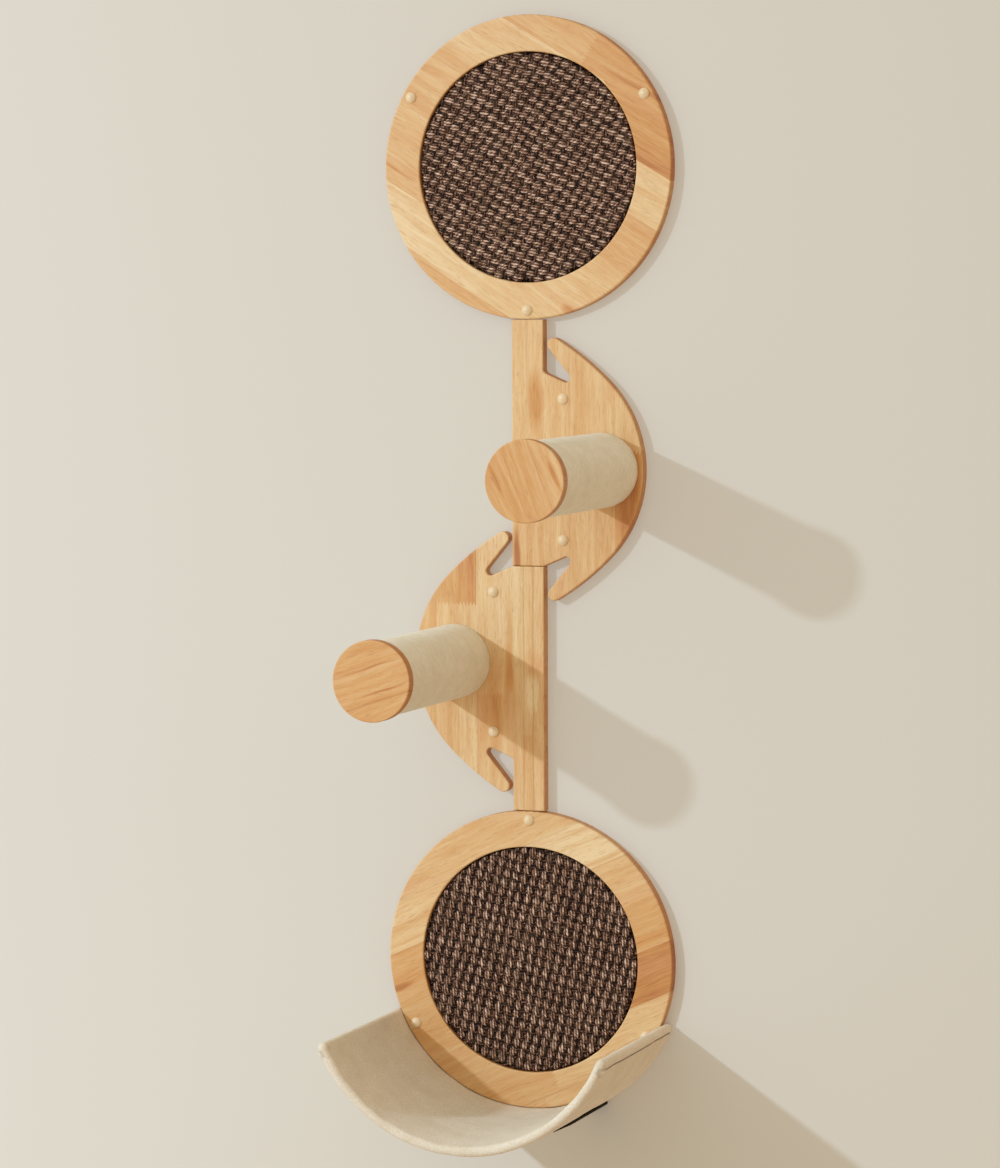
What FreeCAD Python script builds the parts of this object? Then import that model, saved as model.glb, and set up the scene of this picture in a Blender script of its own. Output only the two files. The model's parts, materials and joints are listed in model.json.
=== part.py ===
import math
import os

import FreeCAD
import Part
import Sketcher

# Cat wall step: two sisal discs, two step plates with felt posts, and a felt cradle.
# Millimetres. X runs to the right, Y into the wall, Z up. The wall plane is Y = 0, and the
# origin lies on it where the two step plates meet.

sizes = {
    # boards
    "board_thick": 12.0,
    "board_gap": 0.3,
    "edge_round": 1.5,
    # discs and mats
    "disc_dia": 300.0,
    "rim_wide": 36.2,
    "recess_deep": 6.0,
    "disc_screw_inset": 9.0,
    "mat_thick": 4.5,
    "mat_clear": 0.3,
    "mat_round": 1.2,
    # wall screws and the caps over them
    "shank_dia": 4.2,
    "shank_clear": 0.2,
    "thread_dia": 3.5,
    "thread_long": 35.0,
    "tip_long": 5.0,
    "head_dia": 7.6,
    "head_high": 2.6,
    "bore_dia": 8.0,
    "bore_deep": 8.0,
    "cap_dia": 10.6,
    "cap_rim": 0.8,
    "cap_high": 3.2,
    "cap_plug_long": 4.6,
    "cap_fit": 0.05,
    # step plates
    "stem_wide": 33.0,
    "stem_long": 245.0,
    "fin_mid": 96.5,
    "fin_reach": 120.5,
    "nose_radius": 124.0,
    "flank_radius": 280.0,
    "finger_out": 27.2,
    "finger_round": 6.5,
    "slot_out": 40.0,
    "slot_rise": 91.0,
    "slot_round": 4.5,
    "root_round": 5.0,
    "step_screw_out": 37.0,
    "step_screw_gap": 140.0,
    # climbing posts
    "post_out": 78.0,
    "post_long": 228.0,
    "tube_dia": 70.0,
    "tube_wall": 4.0,
    "felt_thick": 2.0,
    "felt_gap": 0.15,
    "end_cap_dia": 79.0,
    "end_cap_thick": 12.0,
    "end_cap_round": 1.2,
    "spigot_long": 14.0,
    "spigot_clear": 0.2,
    "plug_long": 32.0,
    "nut_dia": 12.0,
    "nut_long": 20.0,
    "nut_clear": 0.1,
    "bolt_dia": 8.0,
    "bolt_long": 30.0,
    "bolt_clear": 0.25,
    "thread_clear": 0.1,
    "bolt_head_dia": 16.0,
    "bolt_sunk": 0.4,
    # cradle
    "cradle_deep": 215.0,
    "cradle_back": 4.0,
    "cradle_clear": 0.3,
    "ply_thick": 6.0,
    "corner_round": 5.0,
    "rim_round": 4.0,
    # brackets and their screws
    "bracket_wide": 20.0,
    "bracket_thick": 2.0,
    "bracket_reach": 114.0,
    "bracket_seat": 0.2,
    "bend_round": 1.2,
    "leg_margin": 3.5,
    "leg_clear": 0.2,
    "leg_screw_in": 7.0,
    "leg_screw_gap": 15.0,
    "leg_screw_long": 9.5,
    "leg_head_dia": 5.8,
    "small_screw_dia": 3.0,
    "small_screw_clear": 0.15,
    "small_tip": 2.0,
    "under_screw_out": 44.0,
    "under_screw_gap": 38.0,
    "under_head_dia": 7.0,
    "under_head_high": 1.4,
    "under_screw_bite": 4.5,
    "overrun": 5.0,
}
# angles in degrees: how far below level the cradle's wings end, each bracket's lean from plumb, and
# the lower step's turn against the upper one
wing_angle = 22.0
bracket_angle = 25.5
lower_step_angle = 180.0
disc_screw_count = 3
# how close two coordinates lie when an edge is picked by its place
pick_tolerance = 0.01

doc = FreeCAD.newDocument("cat_wall_step")
sheet = doc.addObject("Spreadsheet::Sheet", "dims")
for row, (alias, size) in enumerate(sizes.items(), 1):
    sheet.set(f"A{row}", alias)
    sheet.set(f"B{row}", str(size))
    sheet.setAlias(f"B{row}", alias)
doc.recompute()

# places that several pieces share, as formulas on the sheet
front = "dims.board_thick"
disc_radius = "(dims.disc_dia / 2)"
disc_up = f"(dims.stem_long + dims.board_gap + {disc_radius})"
recess_radius = f"({disc_radius} - dims.rim_wide)"
screw_ring = f"({disc_radius} - dims.disc_screw_inset)"
bore_floor = "(dims.board_thick - dims.bore_deep)"
tube_end = "(dims.board_thick + dims.post_long - dims.end_cap_thick)"
tube_bore = "(dims.tube_dia / 2 - dims.tube_wall)"
cover_in = f"({disc_radius} + dims.cradle_clear)"
ply_in = f"({cover_in} + dims.felt_thick + dims.felt_gap)"
ply_out = f"({ply_in} + dims.ply_thick)"
cover_out = f"({ply_out} + dims.felt_gap + dims.felt_thick)"
bracket_top = f"({cover_out} + dims.bracket_seat)"
bracket_low = f"({bracket_top} + dims.bracket_thick)"
leg_end = f"({recess_radius} + dims.leg_margin)"
leg_screws = [f"({leg_end} + dims.leg_screw_in)", f"({leg_end} + dims.leg_screw_in + dims.leg_screw_gap)"]
under_screws = ["dims.under_screw_out", "(dims.under_screw_out + dims.under_screw_gap)"]
small_hole = "(dims.small_screw_dia / 2 + dims.small_screw_clear)"


def value(formula):
    got = sheet.evalExpression(formula)
    return float(getattr(got, "Value", got))


def new_body(label):
    body = doc.addObject("PartDesign::Body", label)
    body.Label = label
    return body


def origin_part(body, role):
    return next(item for item in body.Origin.OriginFeatures if item.Role == role)


def new_sketch(body, name, plane, shift=None, turn=None):
    sketch = body.newObject("Sketcher::SketchObject", name)
    sketch.AttachmentSupport = [(origin_part(body, plane), "")]
    sketch.MapMode = "FlatFace"
    if turn:
        axis, degrees = turn
        sketch.AttachmentOffset = FreeCAD.Placement(FreeCAD.Vector(), FreeCAD.Rotation(axis, degrees))
    for axis_name, formula in (shift or {}).items():
        sketch.setExpression(f"AttachmentOffset.Base.{axis_name}", formula)
    return sketch


def pin(sketch, geometry, end, across, along):
    for kind, axis, formula in (("DistanceX", -2, across), ("DistanceY", -1, along)):
        if formula == "0":
            sketch.addConstraint(Sketcher.Constraint("PointOnObject", geometry, end, axis))
        else:
            rule = Sketcher.Constraint(kind, -1, 1, geometry, end, value(formula))
            sketch.setExpression(f"Constraints[{sketch.addConstraint(rule)}]", formula)


def set_radius(sketch, geometry, formula):
    rule = Sketcher.Constraint("Radius", geometry, value(formula))
    sketch.setExpression(f"Constraints[{sketch.addConstraint(rule)}]", formula)


def spot(across, along):
    return FreeCAD.Vector(value(across), value(along), 0)


def add_circle(sketch, across, along, radius):
    circle = sketch.addGeometry(Part.Circle(spot(across, along), FreeCAD.Vector(0, 0, 1), value(radius)))
    pin(sketch, circle, 3, across, along)
    set_radius(sketch, circle, radius)


def polygon(sketch, corners, dome_at=None):
    # The edge that leaves corner dome_at is an arc about the sketch's upright axis.
    spots = [spot(*corner) for corner in corners]
    edges = []
    for index, start in enumerate(spots):
        stop = spots[(index + 1) % len(spots)]
        if index == dome_at:
            rise = abs(stop.y - start.y)
            radius = (start.x ** 2 + rise ** 2) / (2 * rise)
            centre = FreeCAD.Vector(0, stop.y + radius, 0)
            round_edge = Part.Circle(centre, FreeCAD.Vector(0, 0, 1), radius)
            begin = math.atan2(stop.y - centre.y, stop.x - centre.x)
            finish = math.atan2(start.y - centre.y, start.x - centre.x)
            edges.append((sketch.addGeometry(Part.ArcOfCircle(round_edge, begin, finish)), 2, 1))
        else:
            edges.append((sketch.addGeometry(Part.LineSegment(start, stop)), 1, 2))
    for index, (across, along) in enumerate(corners):
        edge, first, _ = edges[index]
        before, _, last = edges[index - 1]
        sketch.addConstraint(Sketcher.Constraint("Coincident", before, last, edge, first))
        pin(sketch, edge, first, across, along)
    if dome_at is not None:
        sketch.addConstraint(Sketcher.Constraint("PointOnObject", edges[dome_at][0], 3, -2))


def spin(body, name, corners, plane="XY_Plane", cut=False, shift=None, dome_at=None):
    sketch = new_sketch(body, f"{name}_profile", plane, shift)
    polygon(sketch, corners, dome_at)
    feature = body.newObject("PartDesign::Groove" if cut else "PartDesign::Revolution", name)
    feature.Profile = sketch
    feature.ReferenceAxis = (sketch, ["V_Axis"])
    doc.recompute()
    return feature


def extrude(body, name, sketch, length, symmetric=False):
    feature = body.newObject("PartDesign::Pad", name)
    feature.Profile = sketch
    feature.Midplane = symmetric
    feature.setExpression("Length", length)
    doc.recompute()
    return feature


def pocket(body, name, sketch, depth=None, flip=False):
    # Without a depth the cut runs through everything.
    feature = body.newObject("PartDesign::Pocket", name)
    feature.Profile = sketch
    feature.Reversed = flip
    if depth:
        feature.setExpression("Length", depth)
    else:
        feature.Type = "ThroughAll"
    doc.recompute()
    return feature


def mirror(body, name, features, plane):
    feature = body.newObject("PartDesign::Mirrored", name)
    feature.Originals = features
    feature.MirrorPlane = (origin_part(body, plane), [""])
    body.Tip = feature
    doc.recompute()
    return feature


def ease(body, name, radius, wanted, kind="PartDesign::Fillet", size="Radius"):
    base = body.Tip
    picked = [f"Edge{i}" for i, edge in enumerate(base.Shape.Edges, 1) if wanted(edge)]
    feature = body.newObject(kind, name)
    feature.Base = (base, picked)
    feature.setExpression(size, radius)
    doc.recompute()
    return feature


def along_edge(edge):
    sample_shares = (0.0, 0.25, 0.5, 0.75, 1.0)
    first, last = edge.ParameterRange
    return [edge.valueAt(first + (last - first) * share) for share in sample_shares]


def near(a, b):
    return abs(a - b) < pick_tolerance


def in_plane(edge, y):
    return all(near(point.y, y) for point in along_edge(edge))


def is_circle(edge, radius):
    return isinstance(edge.Curve, Part.Circle) and near(edge.Curve.Radius, radius)


def place(item, across="0", out="0", up="0", turn=0.0):
    # Turn is about Y, and positive from Z to X.
    item.Placement = FreeCAD.Placement(FreeCAD.Vector(), FreeCAD.Rotation(FreeCAD.Vector(0, 1, 0), turn))
    for axis_name, formula in (("x", across), ("y", out), ("z", up)):
        if formula != "0":
            item.setExpression(f"Placement.Base.{axis_name}", formula)
    return item


def group(label, bodies):
    # Equal fasteners share a node, as separate solids.
    compound = doc.addObject("Part::Compound", label)
    compound.Label = label
    compound.Links = bodies
    return compound


nodes = []


def keep(item):
    nodes.append(item)
    return item


def screw_bore(body, shift):
    return spin(body, "screw_bore", [
        ("0", "dims.overrun"),
        ("dims.shank_dia / 2 + dims.shank_clear", "dims.overrun"),
        ("dims.shank_dia / 2 + dims.shank_clear", f"-{bore_floor}"),
        ("dims.bore_dia / 2", f"-{bore_floor}"),
        ("dims.bore_dia / 2", f"-{front} - dims.overrun"),
        ("0", f"-{front} - dims.overrun"),
    ], cut=True, shift=shift)


def disc(label, up, first_screw):
    body = new_body(label)
    spin(body, "board", [
        ("0", "0"),
        (disc_radius, "0"),
        (disc_radius, f"-{front}"),
        (recess_radius, f"-{front}"),
        (recess_radius, "-(dims.board_thick - dims.recess_deep)"),
        ("0", "-(dims.board_thick - dims.recess_deep)"),
    ])
    bore = screw_bore(body, {"z": first_screw})
    ring = body.newObject("PartDesign::PolarPattern", "screw_ring")
    ring.Originals = [bore]
    ring.Axis = (origin_part(body, "Y_Axis"), [""])
    ring.Occurrences = disc_screw_count
    body.Tip = ring
    doc.recompute()
    radii = value(disc_radius), value(recess_radius)
    face = -value(front)
    ease(body, "eased_edges", "dims.edge_round",
         lambda edge: in_plane(edge, face) and any(is_circle(edge, radius) for radius in radii))
    return place(body, up=up)


def leg_slots(body):
    # The bracket legs lie flush in the back of the bottom disc.
    turn = (FreeCAD.Vector(0, 0, 1), bracket_angle)
    half = "(dims.bracket_wide / 2 + dims.leg_clear)"
    inner = f"-({leg_end} - dims.leg_clear)"
    outer = f"-({disc_radius} + dims.overrun)"
    outline = new_sketch(body, "leg_slot_outline", "XZ_Plane", turn=turn)
    polygon(outline, [(f"-{half}", inner), (f"-{half}", outer), (half, outer), (half, inner)])
    slot = pocket(body, "leg_slot", outline, "dims.bracket_thick + dims.leg_clear", flip=True)
    holes = new_sketch(body, "pilot_circles", "XZ_Plane", turn=turn)
    for radius in leg_screws:
        add_circle(holes, "0", f"-{radius}", small_hole)
    pilots = pocket(body, "pilots", holes, "dims.leg_screw_long + dims.leg_clear", flip=True)
    mirror(body, "left_leg", [slot, pilots], "YZ_Plane")


def mat(label, up):
    body = new_body(label)
    radius = f"{recess_radius} - dims.mat_clear"
    floor = "(dims.board_thick - dims.recess_deep)"
    spin(body, "sheet", [
        ("0", f"-{floor}"),
        (radius, f"-{floor}"),
        (radius, f"-{floor} - dims.mat_thick"),
        ("0", f"-{floor} - dims.mat_thick"),
    ])
    top = -value(f"{floor} + dims.mat_thick")
    ease(body, "soft_edge", "dims.mat_round", lambda edge: in_plane(edge, top))
    return place(body, up=up)


def wall_screw(name, across, up):
    body = new_body(name)
    spin(body, "turned", [
        ("0", f"-{bore_floor} - dims.head_high"),
        ("dims.head_dia / 2", f"-{bore_floor} - dims.head_high"),
        ("dims.head_dia / 2", f"-{bore_floor}"),
        ("dims.shank_dia / 2", f"-{bore_floor}"),
        ("dims.shank_dia / 2", "0"),
        ("dims.thread_dia / 2", "0"),
        ("dims.thread_dia / 2", "dims.thread_long - dims.tip_long"),
        ("0", "dims.thread_long"),
    ])
    return place(body, across=across, up=up)


def screw_cap(label, across, up):
    body = new_body(label)
    spin(body, "button", [
        ("0", f"-{front} + dims.cap_plug_long"),
        ("dims.bore_dia / 2 - dims.cap_fit", f"-{front} + dims.cap_plug_long"),
        ("dims.bore_dia / 2 - dims.cap_fit", f"-{front}"),
        ("dims.cap_dia / 2", f"-{front}"),
        ("dims.cap_dia / 2", f"-{front} - dims.cap_rim"),
        ("0", f"-{front} - dims.cap_high"),
    ], dome_at=4)
    return place(body, across=across, up=up)


def run(centre, bend, next_centre, next_bend):
    # Ends of the straight between two rounds. A bend is a signed radius, positive where the outline
    # turns left and zero at a corner.
    way = next_centre - centre
    lean = math.asin((next_bend - bend) / way.Length)
    course = FreeCAD.Rotation(FreeCAD.Vector(0, 0, 1), -math.degrees(lean)).multVec(way).normalize()
    left = FreeCAD.Vector(-course.y, course.x, 0)
    return centre - left * bend, next_centre - left * next_bend


def plate_outline(sketch):
    half, low, top = "dims.stem_wide / 2", "dims.board_gap / 2", "dims.stem_long"
    high = "(2 * dims.fin_mid - dims.board_gap / 2)"
    # The fingers' tips lie level with the top and the foot of the nose's circle.
    places = {
        "slot_low": ("dims.slot_out", "dims.fin_mid - dims.slot_rise", "dims.slot_round"),
        "tip_low": ("dims.finger_out", "dims.fin_mid - dims.nose_radius", "dims.finger_round"),
        "nose": ("dims.fin_reach - dims.nose_radius", "dims.fin_mid", "dims.nose_radius"),
        "tip_high": ("dims.finger_out", "dims.fin_mid + dims.nose_radius", "dims.finger_round"),
        "slot_high": ("dims.slot_out", "dims.fin_mid + dims.slot_rise", "dims.slot_round"),
    }
    centre = {name: spot(across, along) for name, (across, along, _) in places.items()}
    radius = {name: value(size) for name, (_, _, size) in places.items()}
    flank = value("dims.flank_radius")
    # A flank arc touches a finger's tip and the nose from inside, which sets its centre.
    base = centre["tip_high"] - centre["nose"]
    to_nose, to_tip = flank - radius["nose"], flank - radius["tip_high"]
    share = (to_nose ** 2 - to_tip ** 2 + base.Length ** 2) / (2 * base.Length ** 2)
    aside = math.sqrt(to_nose ** 2 - (share * base.Length) ** 2)
    away = FreeCAD.Vector(-base.y, base.x, 0).normalize()
    centre["flank_high"] = centre["nose"] + base * share + away * aside
    centre["flank_low"] = FreeCAD.Vector(centre["flank_high"].x,
                                         2 * centre["nose"].y - centre["flank_high"].y, 0)
    radius["flank_low"] = radius["flank_high"] = flank

    def touch(near_name, far_name):
        # Where an inner round meets the larger round that holds it.
        return centre[near_name] + (centre[near_name] - centre[far_name]).normalize() * radius[near_name]

    corner_low, corner_high = spot(half, low), spot(half, high)
    stem_top_right, stem_top_left = spot(half, top), spot(f"-{half}", top)
    stem_low_left = spot(f"-{half}", low)
    diagonal_low = run(corner_low, 0, centre["slot_low"], -radius["slot_low"])
    inner_low = run(centre["slot_low"], -radius["slot_low"], centre["tip_low"], radius["tip_low"])
    inner_high = run(centre["tip_high"], radius["tip_high"], centre["slot_high"], -radius["slot_high"])
    diagonal_high = run(centre["slot_high"], -radius["slot_high"], corner_high, 0)
    tip_to_flank_low, tip_to_flank_high = touch("tip_low", "flank_low"), touch("tip_high", "flank_high")
    nose_low, nose_high = touch("nose", "flank_low"), touch("nose", "flank_high")
    path = [
        ("diagonal_low", *diagonal_low),
        ("slot_low", diagonal_low[1], inner_low[0]),
        ("inner_low", *inner_low),
        ("tip_low", inner_low[1], tip_to_flank_low),
        ("flank_low", tip_to_flank_low, nose_low),
        ("nose", nose_low, nose_high),
        ("flank_high", nose_high, tip_to_flank_high),
        ("tip_high", tip_to_flank_high, inner_high[0]),
        ("inner_high", *inner_high),
        ("slot_high", inner_high[1], diagonal_high[0]),
        ("diagonal_high", *diagonal_high),
        ("stem_right", corner_high, stem_top_right),
        ("stem_top", stem_top_right, stem_top_left),
        ("stem_left", stem_top_left, stem_low_left),
        ("stem_foot", stem_low_left, corner_low),
    ]
    edges = {}
    for name, start, stop in path:
        if name not in centre:
            edges[name] = sketch.addGeometry(Part.LineSegment(start, stop)), 1, 2
            continue
        clockwise = name.startswith("slot")
        circle = Part.Circle(centre[name], FreeCAD.Vector(0, 0, 1), radius[name])
        begin, finish = (stop, start) if clockwise else (start, stop)
        angles = [math.atan2(p.y - centre[name].y, p.x - centre[name].x) for p in (begin, finish)]
        arc = sketch.addGeometry(Part.ArcOfCircle(circle, *angles))
        edges[name] = (arc, 2, 1) if clockwise else (arc, 1, 2)
        if name in places:
            pin(sketch, arc, 3, *places[name][:2])
            set_radius(sketch, arc, places[name][2])
        else:
            set_radius(sketch, arc, "dims.flank_radius")
    names = [name for name, _, _ in path]
    for before_name, name in zip(names[-1:] + names, names):
        before, _, last = edges[before_name]
        edge, first, _ = edges[name]
        meeting = "Tangent" if name in centre or before_name in centre else "Coincident"
        sketch.addConstraint(Sketcher.Constraint(meeting, before, last, edge, first))
    pin(sketch, edges["diagonal_low"][0], 1, half, low)
    pin(sketch, edges["stem_right"][0], 1, half, high)
    pin(sketch, edges["stem_top"][0], 1, half, top)
    pin(sketch, edges["stem_left"][0], 1, f"-{half}", top)
    pin(sketch, edges["stem_foot"][0], 1, f"-{half}", low)


def step_plate(label, turn):
    body = new_body(label)
    outline = new_sketch(body, "outline", "XZ_Plane")
    plate_outline(outline)
    extrude(body, "board", outline, front)
    root = spot("dims.stem_wide / 2", "2 * dims.fin_mid - dims.board_gap / 2")
    ease(body, "root", "dims.root_round",
         lambda edge: all(near(p.x, root.x) and near(p.z, root.y) for p in along_edge(edge)))
    face = -value(front)
    ease(body, "eased_edges", "dims.edge_round", lambda edge: in_plane(edge, face))
    spin(body, "bolt_hole", [
        ("0", "dims.overrun"),
        ("dims.bolt_head_dia / 2 + dims.bolt_clear", "dims.overrun"),
        ("dims.bolt_head_dia / 2 + dims.bolt_clear", "-dims.bolt_sunk"),
        ("dims.bolt_dia / 2 + dims.bolt_clear",
         "-dims.bolt_sunk - (dims.bolt_head_dia - dims.bolt_dia) / 2"),
        ("dims.bolt_dia / 2 + dims.bolt_clear", f"-{front} - dims.overrun"),
        ("0", f"-{front} - dims.overrun"),
    ], cut=True, shift={"x": "dims.post_out", "z": "dims.fin_mid"})
    bore = screw_bore(body, {"x": "dims.step_screw_out", "z": "dims.fin_mid - dims.step_screw_gap / 2"})
    pair = body.newObject("PartDesign::LinearPattern", "screw_pair")
    pair.Originals = [bore]
    pair.Direction = (origin_part(body, "Z_Axis"), [""])
    pair.setExpression("Length", "dims.step_screw_gap")
    pair.Occurrences = 2
    body.Tip = pair
    doc.recompute()
    return place(body, turn=turn)


def ring_piece(label, bore, radius, near_end, far_end):
    body = new_body(label)
    spin(body, "ring", [
        (bore, f"-{near_end}"),
        (radius, f"-{near_end}"),
        (radius, f"-{far_end}"),
        (bore, f"-{far_end}"),
    ])
    return body


def post_plug(label):
    body = new_body(label)
    radius = f"{tube_bore} - dims.spigot_clear"
    nut_hole = "dims.nut_dia / 2 + dims.nut_clear"
    relief = "dims.bolt_dia / 2 + dims.bolt_clear"
    nut_floor = f"-{front} - dims.nut_long"
    spin(body, "turned", [
        (nut_hole, f"-{front}"),
        (radius, f"-{front}"),
        (radius, f"-{front} - dims.plug_long"),
        (relief, f"-{front} - dims.plug_long"),
        (relief, nut_floor),
        (nut_hole, nut_floor),
    ])
    return body


def post_bolt(label):
    body = new_body(label)
    spin(body, "turned", [
        ("0", "-dims.bolt_sunk"),
        ("dims.bolt_head_dia / 2", "-dims.bolt_sunk"),
        ("dims.bolt_dia / 2", "-dims.bolt_sunk - (dims.bolt_head_dia - dims.bolt_dia) / 2"),
        ("dims.bolt_dia / 2", "-dims.bolt_sunk - dims.bolt_long"),
        ("0", "-dims.bolt_sunk - dims.bolt_long"),
    ])
    return body


def end_cap(label):
    body = new_body(label)
    spigot = f"{tube_bore} - dims.spigot_clear"
    spin(body, "turned", [
        ("0", f"-{tube_end} + dims.spigot_long"),
        (spigot, f"-{tube_end} + dims.spigot_long"),
        (spigot, f"-{tube_end}"),
        ("dims.end_cap_dia / 2", f"-{tube_end}"),
        ("dims.end_cap_dia / 2", f"-{tube_end} - dims.end_cap_thick"),
        ("0", f"-{tube_end} - dims.end_cap_thick"),
    ])
    rim = value("dims.end_cap_dia / 2")
    ease(body, "rounded_rim", "dims.end_cap_round", lambda edge: is_circle(edge, rim))
    return body


def post(side, sign, turn):
    sleeve = "dims.tube_dia / 2 + dims.felt_gap"
    pieces = [
        ring_piece(f"{side}_post_tube", tube_bore, "dims.tube_dia / 2", front, tube_end),
        post_plug(f"{side}_post_base_plug"),
        ring_piece(f"{side}_post_insert_nut", "dims.bolt_dia / 2 + dims.thread_clear", "dims.nut_dia / 2",
                   front, f"({front} + dims.nut_long)"),
        post_bolt(f"{side}_post_bolt"),
        ring_piece(f"{side}_post_felt", sleeve, f"{sleeve} + dims.felt_thick", front, tube_end),
        end_cap(f"{side}_post_end_cap"),
    ]
    for piece in pieces:
        keep(place(piece, across=f"{sign}dims.post_out", up=f"{sign}dims.fin_mid", turn=turn))


def sector(body, name, inner, outer, inset, near_end, far_end):
    # A bent board: part of a ring below the disc, its ends drawn in by inset from the wing angle.
    sketch = new_sketch(body, f"{name}_outline", "XZ_Plane", shift={"z": near_end})
    lean = f"({wing_angle} deg + asin({inset} / {outer}))"
    ends = {}
    for key, radius in (("inner", inner), ("outer", outer)):
        right = spot(f"{radius} * cos({lean})", f"-{radius} * sin({lean})")
        ends[key] = FreeCAD.Vector(-right.x, right.y, 0), right
    arcs = {}
    for key, radius in (("inner", inner), ("outer", outer)):
        circle = Part.Circle(FreeCAD.Vector(), FreeCAD.Vector(0, 0, 1), value(radius))
        angles = [math.atan2(end.y, end.x) for end in ends[key]]
        arcs[key] = sketch.addGeometry(Part.ArcOfCircle(circle, *angles))
        sketch.addConstraint(Sketcher.Constraint("Coincident", arcs[key], 3, -1, 1))
        set_radius(sketch, arcs[key], radius)
    for end in (0, 1):
        line = sketch.addGeometry(Part.LineSegment(ends["inner"][end], ends["outer"][end]))
        sketch.addConstraint(Sketcher.Constraint("Coincident", line, 1, arcs["inner"], end + 1))
        sketch.addConstraint(Sketcher.Constraint("Coincident", line, 2, arcs["outer"], end + 1))
        sketch.addConstraint(Sketcher.Constraint("PointOnObject", -1, 1, line))
        drop = f"-{outer} * sin({lean})"
        rule = Sketcher.Constraint("DistanceY", -1, 1, line, 2, value(drop))
        sketch.setExpression(f"Constraints[{sketch.addConstraint(rule)}]", drop)
    extrude(body, name, sketch, f"{far_end} - {near_end}")


def is_radial_front_edge(edge, far_end):
    return isinstance(edge.Curve, Part.Line) and in_plane(edge, -far_end)


def under_holes(body, start):
    # Holes for the bracket screws, from radius start outwards.
    lean = f"({bracket_angle} deg)"
    turn = (FreeCAD.Vector(0, 1, 0), -bracket_angle)
    shift = {"x": f"{start} * sin({lean})", "z": f"-{start} * cos({lean})"}
    sketch = new_sketch(body, "under_circles", "XY_Plane", shift=shift, turn=turn)
    for out in under_screws:
        add_circle(sketch, "0", f"-{out}", small_hole)
    holes = pocket(body, "under_holes", sketch)
    mirror(body, "left_under_holes", [holes], "YZ_Plane")


def cradle_shell(label):
    body = new_body(label)
    edge = "(dims.felt_thick + dims.felt_gap)"
    far_end = f"(dims.cradle_deep - {edge})"
    sector(body, "bent_board", ply_in, ply_out, edge, "dims.cradle_back", far_end)
    ease(body, "corners", "dims.corner_round", lambda item: is_radial_front_edge(item, value(far_end)))
    under_holes(body, f"({ply_out} - dims.under_screw_bite)")
    return place(body, up=f"-{disc_up}")


def cradle_felt(label):
    cover = new_body(f"{label}_outside")
    grown = "(dims.corner_round + dims.felt_gap + dims.felt_thick)"
    sector(cover, "wrap", cover_in, cover_out, "0", "dims.cradle_back", "dims.cradle_deep")
    ease(cover, "corners", grown, lambda item: is_radial_front_edge(item, value("dims.cradle_deep")))
    back = -value("dims.cradle_back")

    def on_rim(edge):
        reach = [math.hypot(p.x, p.z) for p in along_edge(edge)]
        on_wall = any(all(near(r, value(wall)) for r in reach) for wall in (cover_in, cover_out))
        return on_wall and not in_plane(edge, back)

    ease(cover, "rolled_rim", "dims.rim_round", on_rim)
    under_holes(cover, ply_out)
    hollow = new_body(f"{label}_hollow")
    sector(hollow, "room", f"({ply_in} - dims.felt_gap)", f"({ply_out} + dims.felt_gap)", "dims.felt_thick",
           "(dims.cradle_back - dims.overrun)", "(dims.cradle_deep - dims.felt_thick)")
    ease(hollow, "corners", "dims.corner_round + dims.felt_gap",
         lambda item: is_radial_front_edge(item, value("dims.cradle_deep - dims.felt_thick")))
    wrap = doc.addObject("Part::Cut", label)
    wrap.Label = label
    wrap.Base = cover
    wrap.Tool = hollow
    return place(wrap, up=f"-{disc_up}")


def bracket(label, turn):
    body = new_body(label)
    profile = new_sketch(body, "bent_strip", "YZ_Plane")
    polygon(profile, [
        ("0", f"-{leg_end}"),
        ("0", f"-{bracket_low}"),
        ("-dims.bracket_reach", f"-{bracket_low}"),
        ("-dims.bracket_reach", f"-{bracket_top}"),
        ("-dims.bracket_thick", f"-{bracket_top}"),
        ("-dims.bracket_thick", f"-{leg_end}"),
    ])
    extrude(body, "strip", profile, "dims.bracket_wide", symmetric=True)

    def bend_at(out, down):
        return lambda edge: all(near(p.y, -value(out)) and near(p.z, -value(down)) for p in along_edge(edge))

    ease(body, "inner_bend", "dims.bend_round", bend_at("dims.bracket_thick", bracket_top))
    ease(body, "outer_bend", "dims.bend_round + dims.bracket_thick", bend_at("0", bracket_low))
    under = new_sketch(body, "under_circles", "XY_Plane")
    for out in under_screws:
        add_circle(under, "0", f"-{out}", small_hole)
    pocket(body, "under_holes", under)
    leg = new_sketch(body, "leg_circles", "XZ_Plane")
    for radius in leg_screws:
        add_circle(leg, "0", f"-{radius}", small_hole)
    pocket(body, "leg_holes", leg, "dims.bracket_thick", flip=True)
    ease(body, "countersinks", f"dims.leg_head_dia / 2 - {small_hole} + dims.small_screw_clear",
         lambda edge: in_plane(edge, 0) and is_circle(edge, value(small_hole)),
         kind="PartDesign::Chamfer", size="Size")
    return place(body, up=f"-{disc_up}", turn=turn)


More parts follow.
